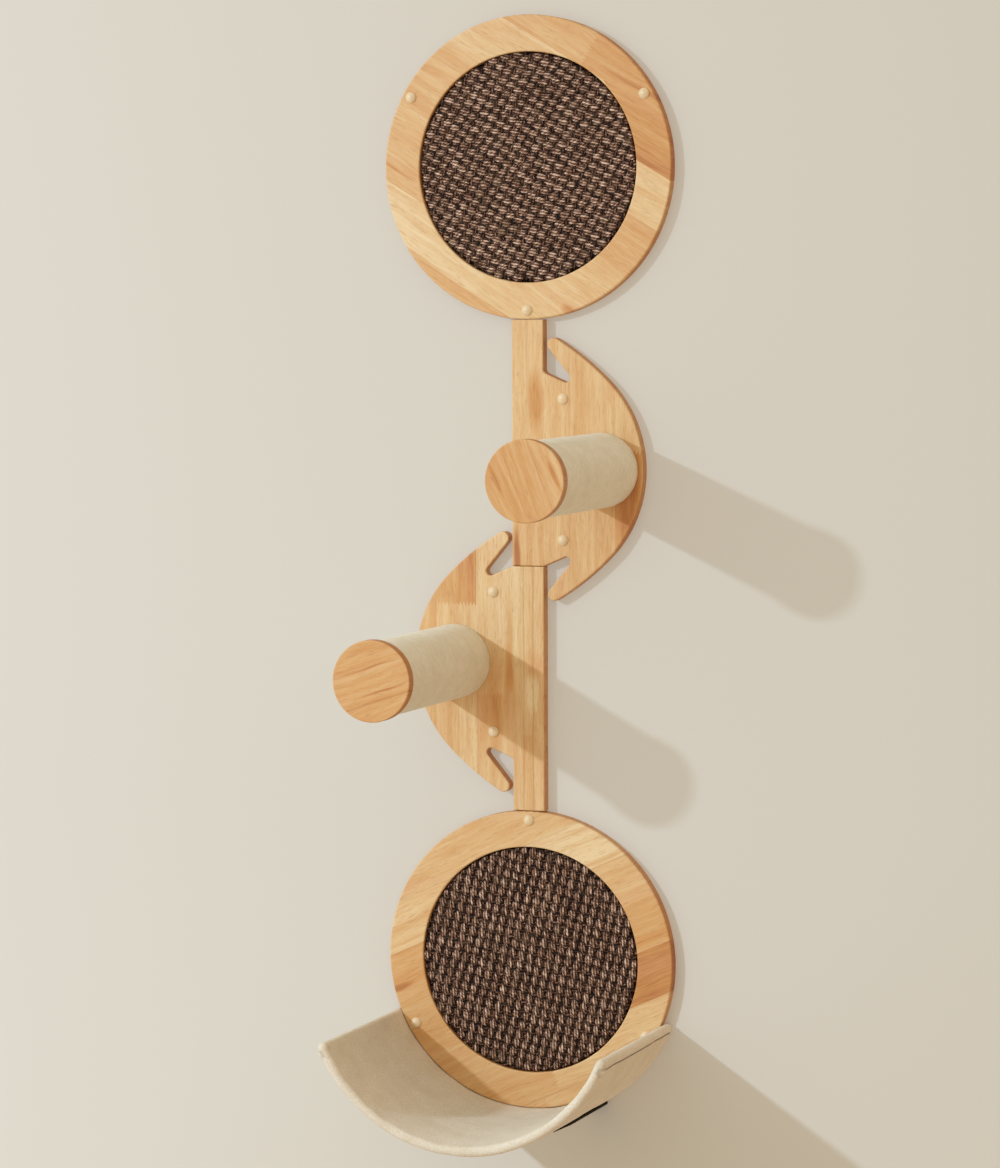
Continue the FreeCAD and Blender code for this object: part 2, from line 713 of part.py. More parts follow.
def under_screw(name, out, turn):
    body = new_body(name)
    tip = f"-({ply_out} - dims.under_screw_bite + dims.small_screw_clear)"
    spin(body, "turned", [
        ("0", f"-{bracket_low} - dims.under_head_high"),
        ("dims.under_head_dia / 2", f"-{bracket_low} - dims.under_head_high"),
        ("dims.under_head_dia / 2", f"-{bracket_low}"),
        ("dims.small_screw_dia / 2", f"-{bracket_low}"),
        ("dims.small_screw_dia / 2", f"{tip} - dims.small_tip"),
        ("0", tip),
    ], plane="XZ_Plane")
    rim, low = value("dims.under_head_dia / 2"), value(f"-{bracket_low} - dims.under_head_high")
    ease(body, "round_head", "dims.under_head_high / 2",
         lambda edge: is_circle(edge, rim) and all(near(p.z, low) for p in along_edge(edge)))
    return place(body, out=f"-{out}", up=f"-{disc_up}", turn=turn)


def leg_screw(name, radius, side):
    body = new_body(name)
    sunk = "dims.small_screw_clear"
    spin(body, "turned", [
        ("0", f"-{sunk}"),
        ("dims.leg_head_dia / 2", f"-{sunk}"),
        ("dims.small_screw_dia / 2", f"-{sunk} - (dims.leg_head_dia - dims.small_screw_dia) / 2"),
        ("dims.small_screw_dia / 2", "-dims.leg_screw_long + dims.small_tip"),
        ("0", "-dims.leg_screw_long"),
    ])
    lean = f"({bracket_angle} deg)"
    return place(body, across=f"{side}{radius} * sin({lean})", up=f"-{disc_up} - {radius} * cos({lean})")


def around(radius, degrees, centre):
    return f"{radius} * cos({degrees} deg)", f"{centre} + {radius} * sin({degrees} deg)"


def fastened(node, spots):
    # The screws of one board as a group, and a cap over each: spots maps a cap's side to its place.
    keep(group(f"{node}_screws", [
        wall_screw(f"{node}_screw_{side}", across, up) for side, (across, up) in spots.items()
    ]))
    for side, (across, up) in spots.items():
        keep(screw_cap(f"{node}_cap_{side}", across, up))


keep(disc("top_disc", disc_up, f"-{screw_ring}"))
keep(mat("top_sisal_mat", disc_up))
fastened("top_disc", {
    side: around(screw_ring, degrees, disc_up)
    for side, degrees in (("bottom", -90), ("right", 30), ("left", 150))
})

for side, sign, turn in (("upper", "", 0.0), ("lower", "-", lower_step_angle)):
    keep(step_plate(f"{side}_step_plate", turn))
    half_gap = "dims.step_screw_gap / 2"
    ends = {"top": f"{sign}dims.fin_mid + {half_gap}", "bottom": f"{sign}dims.fin_mid - {half_gap}"}
    fastened(f"{side}_step", {end: (f"{sign}dims.step_screw_out", up) for end, up in ends.items()})
    post(side, sign, turn)

bottom = keep(disc("bottom_disc", f"-{disc_up}", screw_ring))
leg_slots(bottom)
keep(mat("bottom_sisal_mat", f"-{disc_up}"))
fastened("bottom_disc", {
    side: around(screw_ring, degrees, f"-{disc_up}")
    for side, degrees in (("top", 90), ("left", 210), ("right", 330))
})

keep(cradle_shell("cradle_shell"))
keep(cradle_felt("cradle_felt"))
turns = {"right": -bracket_angle, "left": bracket_angle}
for side, turn in turns.items():
    keep(bracket(f"cradle_bracket_{side}", turn))
keep(group("cradle_bracket_screws", [
    under_screw(f"under_screw_{side}_{index}", out, turn)
    for side, turn in turns.items() for index, out in enumerate(under_screws)
]))
keep(group("bracket_leg_screws", [
    leg_screw(f"leg_screw_{side}_{index}", radius, sign)
    for side, sign in (("right", ""), ("left", "-")) for index, radius in enumerate(leg_screws)
]))

doc.recompute()
for item in doc.Objects:
    if {"Invalid", "Error"} & set(item.State):
        raise RuntimeError(f"{item.Label} did not build: {item.State}")
os.makedirs("parts", exist_ok=True)
for node in nodes:
    shape = node.Shape
    if shape.isNull() or not shape.isValid() or not shape.Solids:
        raise RuntimeError(f"{node.Label} is not a sound solid")
    shape.exportStep(f"parts/{node.Label}.step")
    print(node.Label, len(shape.Solids), "solid(s)", round(shape.Volume / 1000, 2), "cm3")
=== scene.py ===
from functools import partial
import json
import math

import bmesh
import bpy
import numpy as np
from mathutils import Matrix, Vector


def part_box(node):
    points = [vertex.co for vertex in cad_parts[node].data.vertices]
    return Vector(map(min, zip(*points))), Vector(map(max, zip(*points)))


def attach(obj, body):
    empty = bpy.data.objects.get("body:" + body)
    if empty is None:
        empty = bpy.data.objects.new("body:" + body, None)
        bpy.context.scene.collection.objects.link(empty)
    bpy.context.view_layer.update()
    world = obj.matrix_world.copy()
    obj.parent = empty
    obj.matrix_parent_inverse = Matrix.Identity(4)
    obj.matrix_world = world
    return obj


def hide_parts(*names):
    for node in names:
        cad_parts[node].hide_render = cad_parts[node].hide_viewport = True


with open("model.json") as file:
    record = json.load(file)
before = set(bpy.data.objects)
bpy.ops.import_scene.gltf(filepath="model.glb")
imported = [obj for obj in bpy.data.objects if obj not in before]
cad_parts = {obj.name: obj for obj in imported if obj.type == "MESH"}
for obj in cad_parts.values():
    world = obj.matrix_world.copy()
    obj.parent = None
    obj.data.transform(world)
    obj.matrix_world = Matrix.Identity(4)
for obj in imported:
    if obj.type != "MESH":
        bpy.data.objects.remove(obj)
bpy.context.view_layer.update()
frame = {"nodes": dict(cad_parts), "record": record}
nodes = frame["nodes"]
mm = 0.001
weldMm = 0.01
body = "wall_set"
print("frame:", len(nodes), "nodes")

discLow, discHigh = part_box("bottom_disc")
topLow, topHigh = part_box("top_disc")
bottomCentre = (discLow + discHigh) / 2
topCentre = (topLow + topHigh) / 2


# camera where the photographer stood: right of the part and a little above its middle

photoCamera = {
    "place": (1.4309, -4.0077, 0.2963),
    "panDeg": -20.08,
    "tiltDeg": -4.23,
    "rollDeg": -0.23,
    "lensMm": 131.8,
    "sensorMm": 36.0,
}


def setCamera(look):
    pan, tilt, roll = (math.radians(look[key]) for key in ("panDeg", "tiltDeg", "rollDeg"))
    ahead = Vector((math.sin(pan) * math.cos(tilt), math.cos(pan) * math.cos(tilt), math.sin(tilt)))
    level = Vector((math.cos(pan), -math.sin(pan), 0))
    rise = level.cross(ahead)
    right = level * math.cos(roll) + rise * math.sin(roll)
    up = rise * math.cos(roll) - level * math.sin(roll)
    lens = bpy.data.cameras.new("photoCamera")
    lens.lens = look["lensMm"]
    lens.sensor_width = look["sensorMm"]
    lens.clip_end = 60
    camera = bpy.data.objects.new("photoCamera", lens)
    bpy.context.scene.collection.objects.link(camera)
    turn = Matrix((right, up, -ahead)).transposed().to_4x4()
    camera.matrix_world = Matrix.Translation(look["place"]) @ turn
    bpy.context.scene.camera = camera


setCamera(photoCamera)
bpy.context.scene.view_settings.view_transform = "Standard"


# colours and nodes

def linear(colour):
    # an sRGB hex colour as linear light; what isn't one stays as it is
    if not isinstance(colour, str):
        return colour
    shares = [int(colour[i:i + 2], 16) / 255 for i in (1, 3, 5)]
    return [c / 12.92 if c <= 0.04045 else ((c + 0.055) / 1.055) ** 2.4 for c in shares] + [1.0]


def addNode(tree, kind, links=None, ramp=None, **settings):
    node = tree.nodes.new("ShaderNode" + kind)
    for key, setting in settings.items():
        setattr(node, key, setting)
    if kind == "Mix" and 6 in links:  # these inputs are its colours
        node.data_type = "RGBA"
    if ramp:
        stops = node.color_ramp.elements
        stops.remove(stops[1])
        stops[0].position = ramp[0][0]
        stops[0].color = linear(ramp[0][1])
        for spot, colour in ramp[1:]:
            stops.new(spot).color = linear(colour)
    for key, source in (links or {}).items():
        if isinstance(source, bpy.types.Node):
            source = next(output for output in source.outputs if output.enabled)
        if isinstance(source, bpy.types.NodeSocket):
            tree.links.new(source, node.inputs[key])
        else:
            node.inputs[key].default_value = linear(source)
    return node


def newFinish(name):
    material = bpy.data.materials.new(name)
    material.use_nodes = True
    material.node_tree.nodes.clear()
    return material, partial(addNode, material.node_tree)


def seenDirectly(add):
    # 1 for what the camera or a shiny surface shows, 0 for what only gives light
    path = add("LightPath")
    return add("Math", {0: path.outputs["Is Camera Ray"], 1: path.outputs["Is Glossy Ray"]},
            operation="MAXIMUM")


def mottled(add, sizesMm, detail, hexes):
    # Noise of these sizes along x, y and z, and a colour that goes with it from the first to the second.
    spot = add("TexCoord").outputs["Object"]
    lie = add("Mapping", {"Vector": spot, "Scale": [1 / (size * mm) for size in sizesMm]})
    noise = add("TexNoise", {"Vector": lie, "Scale": 1.0, "Detail": detail})
    return noise, add("Mix", {0: noise, 6: hexes[0], 7: hexes[1]})


def between(end, pair):
    return {f"{end} Min": pair[0], f"{end} Max": pair[1]}


def finishSurface(add, links):
    shader = add("BsdfPrincipled", links)
    add("OutputMaterial", {"Surface": shader})


def grainy(name, sizeMm, detail, hexes, bump, surface):
    # A finish of two colours that mingle, with a relief of the same grain.
    material, add = newFinish(name)
    grain, colour = mottled(add, [sizeMm] * 3, detail, hexes)
    strength, deepMm = bump
    relief = add("Bump", {"Height": grain, "Strength": strength, "Distance": deepMm * mm})
    finishSurface(add, {"Base Color": colour, "Normal": relief, **surface})
    return material


# stage: a pale painted wall that the part hangs on, and a floor below it

stage = {
    "leftHex": "#D9D4C8", "rightHex": "#D3CDBF",
    "turnFrom": (-0.6, 0.6),  # between these the left colour turns into the darker right one: painted shade for the lamp's light falling off
    "glowShare": (0.05, 0.38),  # painted light: for the camera the paint glows its own colour by this share, whatever light falls on it,
    "glowFrom": (-0.62, -0.25),  # at these heights; the stronger glow high up pales the posts' shadows on the wall
    "halfWide": 3.5,
    "top": 2.6,
    "floor": -1.15,
    "reach": 6.0,
    "cove": 0.35,
    "coveSteps": 12,
    "behind": 0.0003,  # just behind the boards' backs
}


def paintedWall():
    # Flat emulsion paint. Rays that light the part pass through it, and it is clear from behind, so
    # that the part's back can be seen and is lit as well.
    material, add = newFinish("flatEmulsionWall")
    path = add("LightPath")
    sides = add("NewGeometry")
    bounce = add("Math", {0: path.outputs["Is Diffuse Ray"], 1: path.outputs["Is Shadow Ray"]},
            operation="MAXIMUM")
    clear = add("Math", {0: bounce, 1: sides.outputs["Backfacing"]}, operation="MAXIMUM")
    spot = add("TexCoord").outputs["Object"]
    axes = add("SeparateXYZ", {0: spot})
    # painted shade: the wall grows darker to the right, as the lamp's light falls off
    across = add("MapRange", {"Value": axes.outputs["X"], **between("From", stage["turnFrom"])})
    colour = add("Mix", {0: across, 6: stage["leftHex"], 7: stage["rightHex"]})
    paint = add("BsdfDiffuse", {"Color": colour})
    # painted light: the wall glows a share of its colour for the camera, so that its shadows look paler
    own = add("Emission", {"Color": colour})
    height = add("MapRange", {"Value": axes.outputs["Z"], **between("From", stage["glowFrom"]),
            **between("To", stage["glowShare"])})
    share = add("Math", {0: seenDirectly(add), 1: height}, operation="MULTIPLY")
    shown = add("MixShader", {0: share, 1: paint, 2: own})
    glass = add("BsdfTransparent")
    both = add("MixShader", {0: clear, 1: shown, 2: glass})
    add("OutputMaterial", {"Surface": both})
    return material


def addMesh(name, points, faces, material):
    mesh = bpy.data.meshes.new(name)
    mesh.from_pydata([tuple(p) for p in points], [], [tuple(f) for f in faces])
    mesh.materials.append(material)
    mesh.polygons.foreach_set("use_smooth", [True] * len(mesh.polygons))
    mesh.update()
    piece = bpy.data.objects.new(name, mesh)
    bpy.context.scene.collection.objects.link(piece)
    return piece


def settle(piece, node):
    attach(piece, body)
    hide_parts(node)


def buildStage():
    steps = stage["coveSteps"]
    profile = [(stage["behind"], stage["top"])]
    for i in range(steps + 1):
        turn = math.pi / 2 * i / steps
        profile.append((stage["behind"] - stage["cove"] * (1 - math.cos(turn)),
                stage["floor"] + stage["cove"] * (1 - math.sin(turn))))
    profile.append((-stage["reach"], stage["floor"]))
    points = [(side * stage["halfWide"], y, z) for y, z in profile for side in (-1, 1)]
    faces = [(2 * i, 2 * i + 2, 2 * i + 3, 2 * i + 1) for i in range(len(profile) - 1)]
    addMesh("wallAndFloor", points, faces, paintedWall())


buildStage()


# light: a small key lamp up on the left, where the posts' shadows point, and a warm soft room

keyLamp = {
    "place": (-2.31, -2.86, 1.20),
    "aim": (0, 0, -6.0),  # turned down, so that the top isn't brighter than the bottom
    "across": 0.16,
    "watts": 83.0,
    "tint": (0.8, 1.0, 1.28),
}
room = {
    "bright": (0.962, 0.958, 0.89),
    "dark": (0.585, 0.41, 0.25),
    "brightSide": (-0.85, -0.1, 0.5),
    "seenHex": "#E4DFD2",
}


def buildLight():
    lamp = bpy.data.lights.new("keyLamp", "AREA")
    lamp.shape = "DISK"
    lamp.size = keyLamp["across"]
    lamp.energy = keyLamp["watts"]
    lamp.color = keyLamp["tint"]
    key = bpy.data.objects.new("keyLamp", lamp)
    key.location = keyLamp["place"]
    key.rotation_euler = (Vector(keyLamp["aim"]) - key.location).to_track_quat("-Z", "Y").to_euler()
    bpy.context.scene.collection.objects.link(key)
    world = bpy.data.worlds.new("softRoom")
    world.use_nodes = True
    world.node_tree.nodes.clear()
    add = partial(addNode, world.node_tree)
    toward = add("TexCoord").outputs["Generated"]
    side = add("VectorMath", {0: toward, 1: Vector(room["brightSide"]).normalized()},
            operation="DOT_PRODUCT")
    share = add("Math", {0: side, 1: 0.5, 2: 0.5}, operation="MULTIPLY_ADD")
    tint = add("Mix", {0: share, 6: [*room["dark"], 1.0], 7: [*room["bright"], 1.0]})
    fill = add("Background", {"Color": tint})
    seen = add("Background", {"Color": room["seenHex"]})
    both = add("MixShader", {0: seenDirectly(add), 1: fill, 2: seen})
    add("OutputWorld", {"Surface": both})
    bpy.context.scene.world = world


buildLight()
print("camera, stage and light")


# rubberwood boards: staves glued edge to edge, each finger-jointed from shorter blocks

woodTones = [(0.0, "#E9CE9E"), (0.25, "#E0BC86"), (0.5, "#D8AA70"), (0.75, "#D09858"), (1.0, "#BC7C41"),
             (1.4, "#9A5A2F")]
wood = {
    "warpMm": 9.0, "warpLongMm": 110.0, "warpWideMm": 40.0,  # how far the grain wanders
    "bandMm": 7.5, "bandLongMm": 190.0, "bandAmount": 0.8,  # growth bands
    "figureMm": 8.0, "figureLongMm": 42.0, "figureAmount": 0.5,
    "streakMm": 1.2, "streakLongMm": 26.0, "streakAmount": 0.6,
    "spread": 1.4,  # from the palest tone to the darkest
    # real vessels are 0.2 mm wide, drawn coarser so that they show
    "poreMm": 0.7, "poreLongMm": 9.0, "poreFrom": (0.58, 0.71), "poreAmount": 0.38,
    "blushMm": 26.0, "blushLongMm": 120.0, "blushFrom": (0.5, 0.8), "blushAmount": 0.3,
    "depthMm": 14.0,
    "markFrom": (0.9, 1.6), "markRagged": 0.9,  # where a mark fades out, in its own half sizes
    "rough": (0.42, 0.62),
    "pieceSeed": 41.0,
    "toothMm": 3.6, "toothLongMm": 4.5,
    "glueMm": 0.45, "glueAmount": 0.4,
    "halfSpanMm": 160.0,
    "poreHex": "#A86C38",
    "blushHex": "#D69A6E",
    # sawn edges are darker and redder: end grain drinks lacquer, and partly painted shade for edges turned
    # from the light
    "sawnFrom": (0.6, 0.15), "sawnTint": (0.72, 0.54, 0.42, 1.0),
}
# A stave is its low edge across the grain in mm, its tone before and after the finger joint, and where
# along the grain that joint lies. A mark is a patch of other growth, one partly painted shade: its middle
# along and across, its half length and half width, and how much darker it is. All in mm from the board's
# middle.
boards = {
    "top_disc": {
        "middle": topCentre, "grainDeg": -31.0,
        "staves": [(-160, 0.5, 0.42, 60), (-137, 0.14, 0.28, 20), (-87, 0.45, 0.3, -20),
                   (-37, 0.48, 0.52, 40), (14, 0.45, 0.22, -30), (63, 0.25, 0.82, 30), (113, 0.5, 0.72, 0)],
        "marks": [(-60, -134, 60, 2.5, 0.35), (-118, -72, 24, 2.0, 0.4), (110, -96, 9, 5, 0.5),
                  (60, 124, 40, 3, 0.3), (126, 40, 40, 3.0, 0.25)],
    },
    "bottom_disc": {
        "middle": bottomCentre, "grainDeg": 24.5,
        "staves": [(-160, 0.45, 0.4, -40), (-132.6, 0.5, 0.3, -22), (-84.8, 0.5, 0.92, 30),
                   (-37, 0.52, 0.58, 0), (10.8, 0.62, 0.38, -30), (58.6, 0.32, 0.14, 20),
                   (106.4, 0.44, 0.38, -10)],
        "marks": [(-144, 26, 20, 3.0, 0.45), (-107, 88, 40, 4, -0.2), (110, 66, 40, 2.5, 0.25),
                  (30, -128, 14, 7, 0.25)],
    },
    "upper_step_plate": {
        "middle": Vector((0, 0, 0.0965)), "grainDeg": 90.0,
        "staves": [(-160, 0.6, 0.3, 20), (-91.7, 0.42, 0.38, -30), (-43.6, 0.4, 0.38, 60),
                   (1, 0.36, 0.32, -40)],
        "marks": [(67, -7, 30, 8, 0.42), (-88, 14, 34, 4, 0.75), (-20, -104, 60, 12, 0.35),
                  (10, -48, 120, 3, 0.2)],
    },
    "lower_step_plate": {
        "middle": Vector((0, 0, -0.0965)), "grainDeg": 90.0,
        "staves": [(-160, 0.34, 0.28, 0), (-5, 0.46, 0.3, -70), (5, 0.34, 0.16, -30), (54, 0.28, 0.8, 60),
                   (73, 0.4, 0.68, 60), (97, 0.48, 0.48, 0)],
        # the third mark darkens the wood where the lower post's shadow falls: darker growth, and partly
        # painted shade
        "marks": [(-32, -4, 20, 9, -0.6), (-2, -4, 16, 14, 0.22), (-30, 34, 46, 24, 0.28),
                  (-60, 40, 50, 12, 0.2), (10, 22, 60, 5, 0.25)],
    },
    "upper_post_end_cap": {
        "middle": Vector((0.078, 0, 0.0965)), "grainDeg": -68.0,
        "staves": [(-160, 0.66, 0.6, 150), (-12, 0.6, 0.52, 150), (16, 0.54, 0.47, 150)],
        "marks": [(6, 30, 18, 2.5, 0.4), (-12, -26, 22, 3, 0.25)],
    },
    "lower_post_end_cap": {
        "middle": Vector((-0.078, 0, -0.0965)), "grainDeg": 19.0,
        "staves": [(-160, 0.66, 0.62, 150), (-20, 0.62, 0.54, 150)],
        "marks": [(0, 14, 34, 1.5, 0.35), (8, -10, 26, 1.2, 0.3)],
    },
}


def rubberwood(node, board):
    # Planed, sanded and lacquered: long soft streaks, short dark vessel lines, tones that jump at the
    # glue lines, and a satin surface.
    material, add = newFinish("rubberwood." + node)
    grain = math.radians(board["grainDeg"])
    start = Matrix.Rotation(grain, 3, "Y") @ board["middle"] / -mm
    source = add("TexCoord")
    place = add("Mapping", {"Vector": source.outputs["Object"], "Location": start,
            "Rotation": (0, grain, 0), "Scale": [1 / mm] * 3})
    axes = add("SeparateXYZ", {0: place})
    along, across = axes.outputs["X"], axes.outputs["Z"]

    # staves and blocks
    span = 2 * wood["halfSpanMm"]
    row = add("MapRange", {"Value": across, "From Min": -span / 2, "From Max": span / 2})
    table = [(edge / span + 0.5, (low, high, joint / span + 0.5, 1.0))
             for edge, low, high, joint in board["staves"]]
    stave = add("ValToRGB", {0: row}, table)
    stave.color_ramp.interpolation = "CONSTANT"
    tones = add("SeparateColor", {0: stave})
    tooth = add("Math", {0: across, 1: wood["toothMm"] / 2}, operation="PINGPONG")
    reach = add("Math", {0: tooth, 1: 2 * wood["toothLongMm"] / wood["toothMm"], 2: along},
            operation="MULTIPLY_ADD")
    joint = add("Math", {0: tones.outputs[2], 1: span, 2: -span / 2}, operation="MULTIPLY_ADD")
    past = add("Math", {0: reach, 1: joint}, operation="GREATER_THAN")
    tone = add("Mix", {0: past, 2: tones.outputs[0], 3: tones.outputs[1]})
    piece = add("Math", {0: tone, 1: wood["pieceSeed"], 2: past}, operation="MULTIPLY_ADD")

    # the grain wanders, so that the bands swing now and then
    slow = add("Mapping", {"Vector": place,
            "Scale": (1 / wood["warpLongMm"], 1 / wood["depthMm"] / 4, 1 / wood["warpWideMm"])})
    swing = add("TexNoise", {"Vector": slow, "W": piece, "Scale": 1.0, "Detail": 2.0},
            noise_dimensions="4D")
    drift = add("MapRange", {"Value": swing, "To Min": -wood["warpMm"], "To Max": wood["warpMm"]})
    bentAcross = add("Math", {0: across, 1: drift}, operation="ADD")
    bent = add("CombineXYZ", {0: along, 1: axes.outputs["Y"], 2: bentAcross})

    layers = {}
    for key, detail in (("band", 3.0), ("figure", 3.0), ("streak", 3.0), ("pore", 1.0), ("blush", 2.0)):
        scale = (1 / wood[key + "LongMm"], 1 / wood["depthMm"], 1 / wood[key + "Mm"])
        scaled = add("Mapping", {"Vector": bent, "Scale": scale})
        layers[key] = add("TexNoise", {"Vector": scaled, "W": piece, "Scale": 1.0,
                "Detail": detail}, noise_dimensions="4D")

    # marks, with edges as ragged as the grain
    for middleLong, middleWide, halfLong, halfWide, darker in board["marks"]:
        aside = add("VectorMath", {0: bent, 1: (middleLong, 0, middleWide)}, operation="SUBTRACT")
        shares = add("VectorMath", {0: aside, 1: (1 / halfLong, 0, 1 / halfWide)}, operation="MULTIPLY")
        away = add("VectorMath", {0: shares}, operation="LENGTH")
        ragged = add("Math", {0: layers["streak"], 1: wood["markRagged"], 2: away},
                operation="MULTIPLY_ADD")
        patch = add("MapRange", {"Value": ragged, **between("From", wood["markFrom"]), "To Min": darker,
                "To Max": 0.0})
        tone = add("Math", {0: tone, 1: patch}, operation="ADD")

    palest = 0.0
    for key in ("band", "figure", "streak"):
        amount = wood[key + "Amount"]
        tone = add("Math", {0: layers[key], 1: amount, 2: tone}, operation="MULTIPLY_ADD")
        palest += amount / 2
    level = add("MapRange", {"Value": tone, "From Min": palest, "From Max": palest + wood["spread"]})
    ramp = [(share / wood["spread"], colour) for share, colour in woodTones]
    base = add("ValToRGB", {0: level}, ramp)
    rosy = add("MapRange", {"Value": layers["blush"], **between("From", wood["blushFrom"]),
            "To Max": wood["blushAmount"]})
    warm = add("Mix", {0: rosy, 6: base, 7: wood["blushHex"]})
    vessel = add("MapRange", {"Value": layers["pore"], **between("From", wood["poreFrom"]),
            "To Max": wood["poreAmount"]})
    porous = add("Mix", {0: vessel, 6: warm, 7: wood["poreHex"]})

    # glue lines between staves
    black, grey = (0, 0, 0, 1), (*[wood["glueAmount"]] * 3, 1)
    lines = [(0.0, black)]
    for edge, *_ in board["staves"][1:]:
        middle, half = edge / span + 0.5, wood["glueMm"] / span
        lines += [(middle - half, black), (middle, grey), (middle + half, black)]
    glue = add("ValToRGB", {0: row}, lines)
    glued = add("Mix", {0: glue, 6: porous, 7: wood["poreHex"]})

    # sawn edges: darker end grain, and partly painted shade
    facing = add("SeparateXYZ", {0: source.outputs["Normal"]})
    flat = add("Math", {0: facing.outputs["Y"]}, operation="ABSOLUTE")
    sawn = add("MapRange", {"Value": flat, **between("From", wood["sawnFrom"])})
    colour = add("Mix", {0: sawn, 6: glued, 7: wood["sawnTint"]}, blend_type="MULTIPLY")
    rough = add("MapRange", {"Value": layers["streak"], **between("To", wood["rough"])})
    relief = add("Math", {0: vessel, 1: -1.0, 2: layers["streak"]}, operation="MULTIPLY_ADD")
    bump = add("Bump", {"Height": relief, "Strength": 0.35, "Distance": 0.15 * mm})
    finishSurface(add, {"Base Color": colour, "Roughness": rough, "Normal": bump, "IOR": 1.48})
    return material


for node, board in boards.items():
    nodes[node].data.materials[0] = rubberwood(node, board)
print("rubberwood on", len(boards), "boards")


# felt: posts in sleeves, the cradle in a cover

felt = {
    "cutAndShadeHex": "#4A3A28",       # a cut edge that lies open, and painted shade along seams, under the hem and in creases
    "mottleMm": 22.0,
    "reliefMm": 0.9,
}


def needleFelt(name, fibreMm, shadeHex, paleHex, fleckHex):
    # Needle-punched wool felt: short matted fibres, soft mottling, no shine. The fibres are drawn a
    # few times their real 0.03 mm width so that they show.
    material, add = newFinish(name)
    spot = add("TexCoord").outputs["Object"]
    lie = add("Mapping", {"Vector": spot, "Scale": [1 / (size * mm) for size in fibreMm]})
    nap = add("TexNoise", {"Vector": lie, "Scale": 1.0, "Detail": 5.0, "Roughness": 0.62,
            "Distortion": 0.8})
    spread = add("Mapping", {"Vector": spot, "Scale": [1 / (felt["mottleMm"] * mm)] * 3})
    mottle = add("TexNoise", {"Vector": spread, "Scale": 1.0, "Detail": 3.0})
    fleck = add("MapRange", {"Value": nap, "From Min": 0.35, "From Max": 0.7})
    cloud = add("MapRange", {"Value": mottle, "From Min": 0.4, "From Max": 0.75, "To Max": 0.35})
    base = add("Mix", {0: fleck, 6: shadeHex, 7: fleckHex})
    even = add("Mix", {0: 0.35, 6: base, 7: paleHex})
    clouded = add("Mix", {0: cloud, 6: even, 7: shadeHex})
    # darker where the mesh says: open cut edges, and painted shade in seams, under the hem and in creases
    cut = add("Attribute", attribute_name="cutEdgeAndShade")
    colour = add("Mix", {0: cut.outputs["Fac"], 6: clouded, 7: felt["cutAndShadeHex"]})
    bump = add("Bump", {"Height": nap, "Strength": 0.9, "Distance": felt["reliefMm"] * mm})
    finishSurface(add, {"Base Color": colour, "Roughness": 0.95, "Normal": bump, "Specular IOR Level": 0.2,
            "Sheen Weight": 0.1, "Sheen Roughness": 0.6})
    return material


def soft(points, seed, sizeMm):
    # Smooth noise from a few waves in seeded directions, about -1 to 1.
    draw = np.random.default_rng(seed)
    total = np.zeros(len(points))
    waves = 14
    sizes = (0.6, 1.7)
    for _ in range(waves):
        heading = draw.normal(size=3)
        heading *= 2 * math.pi / (sizeMm * mm * draw.uniform(*sizes) * np.linalg.norm(heading))
        total += np.sin(points @ heading + draw.uniform(0, 2 * math.pi))
    return total / math.sqrt(waves)


def gridFaces(rows, columns, closed=False):
    last = columns if closed else columns - 1
    return [(r * columns + c, r * columns + (c + 1) % columns, (r + 1) * columns + (c + 1) % columns,
            (r + 1) * columns + c) for r in range(rows - 1) for c in range(last)]


def ringPoints(middle, rings, sides):
    # Points on rings of (y, radius) round an axis along y, and the turn at each.
    turns = np.arange(sides) * 2 * math.pi / sides
    points = []
    for y, r in rings:
        points.append(np.stack([middle.x + r * np.cos(turns), np.full(sides, y),
                middle.z + r * np.sin(turns)], 1))
    return np.concatenate(points), np.tile(turns, len(rings))


def setPointValues(piece, name, values):
    layer = piece.data.attributes.new(name, "FLOAT", "POINT")
    layer.data.foreach_set("value", np.asarray(values, dtype=np.float32))


sleeve = {
    "around": 200,
    "along": 150,
    "thickMm": 2.0,
    "tuckMm": 3.0,  # the raw ends turn in by this much
    "waveMm": 0.2, "waveSizeMm": 12.0, "waveStretch": (1, 2.2, 1),
    "creaseMm": 0.12, "creaseSizeMm": 5.0, "creaseStretch": (0.5, 1.6, 0.5),
    "seamDeg": 250.0,  # the butt seam, underneath and towards the left
    "seamWideMm": 1.2, "seamDeepMm": 0.9, "seamShade": 0.5,
    "seeds": {"upper": 5, "lower": 6},
}


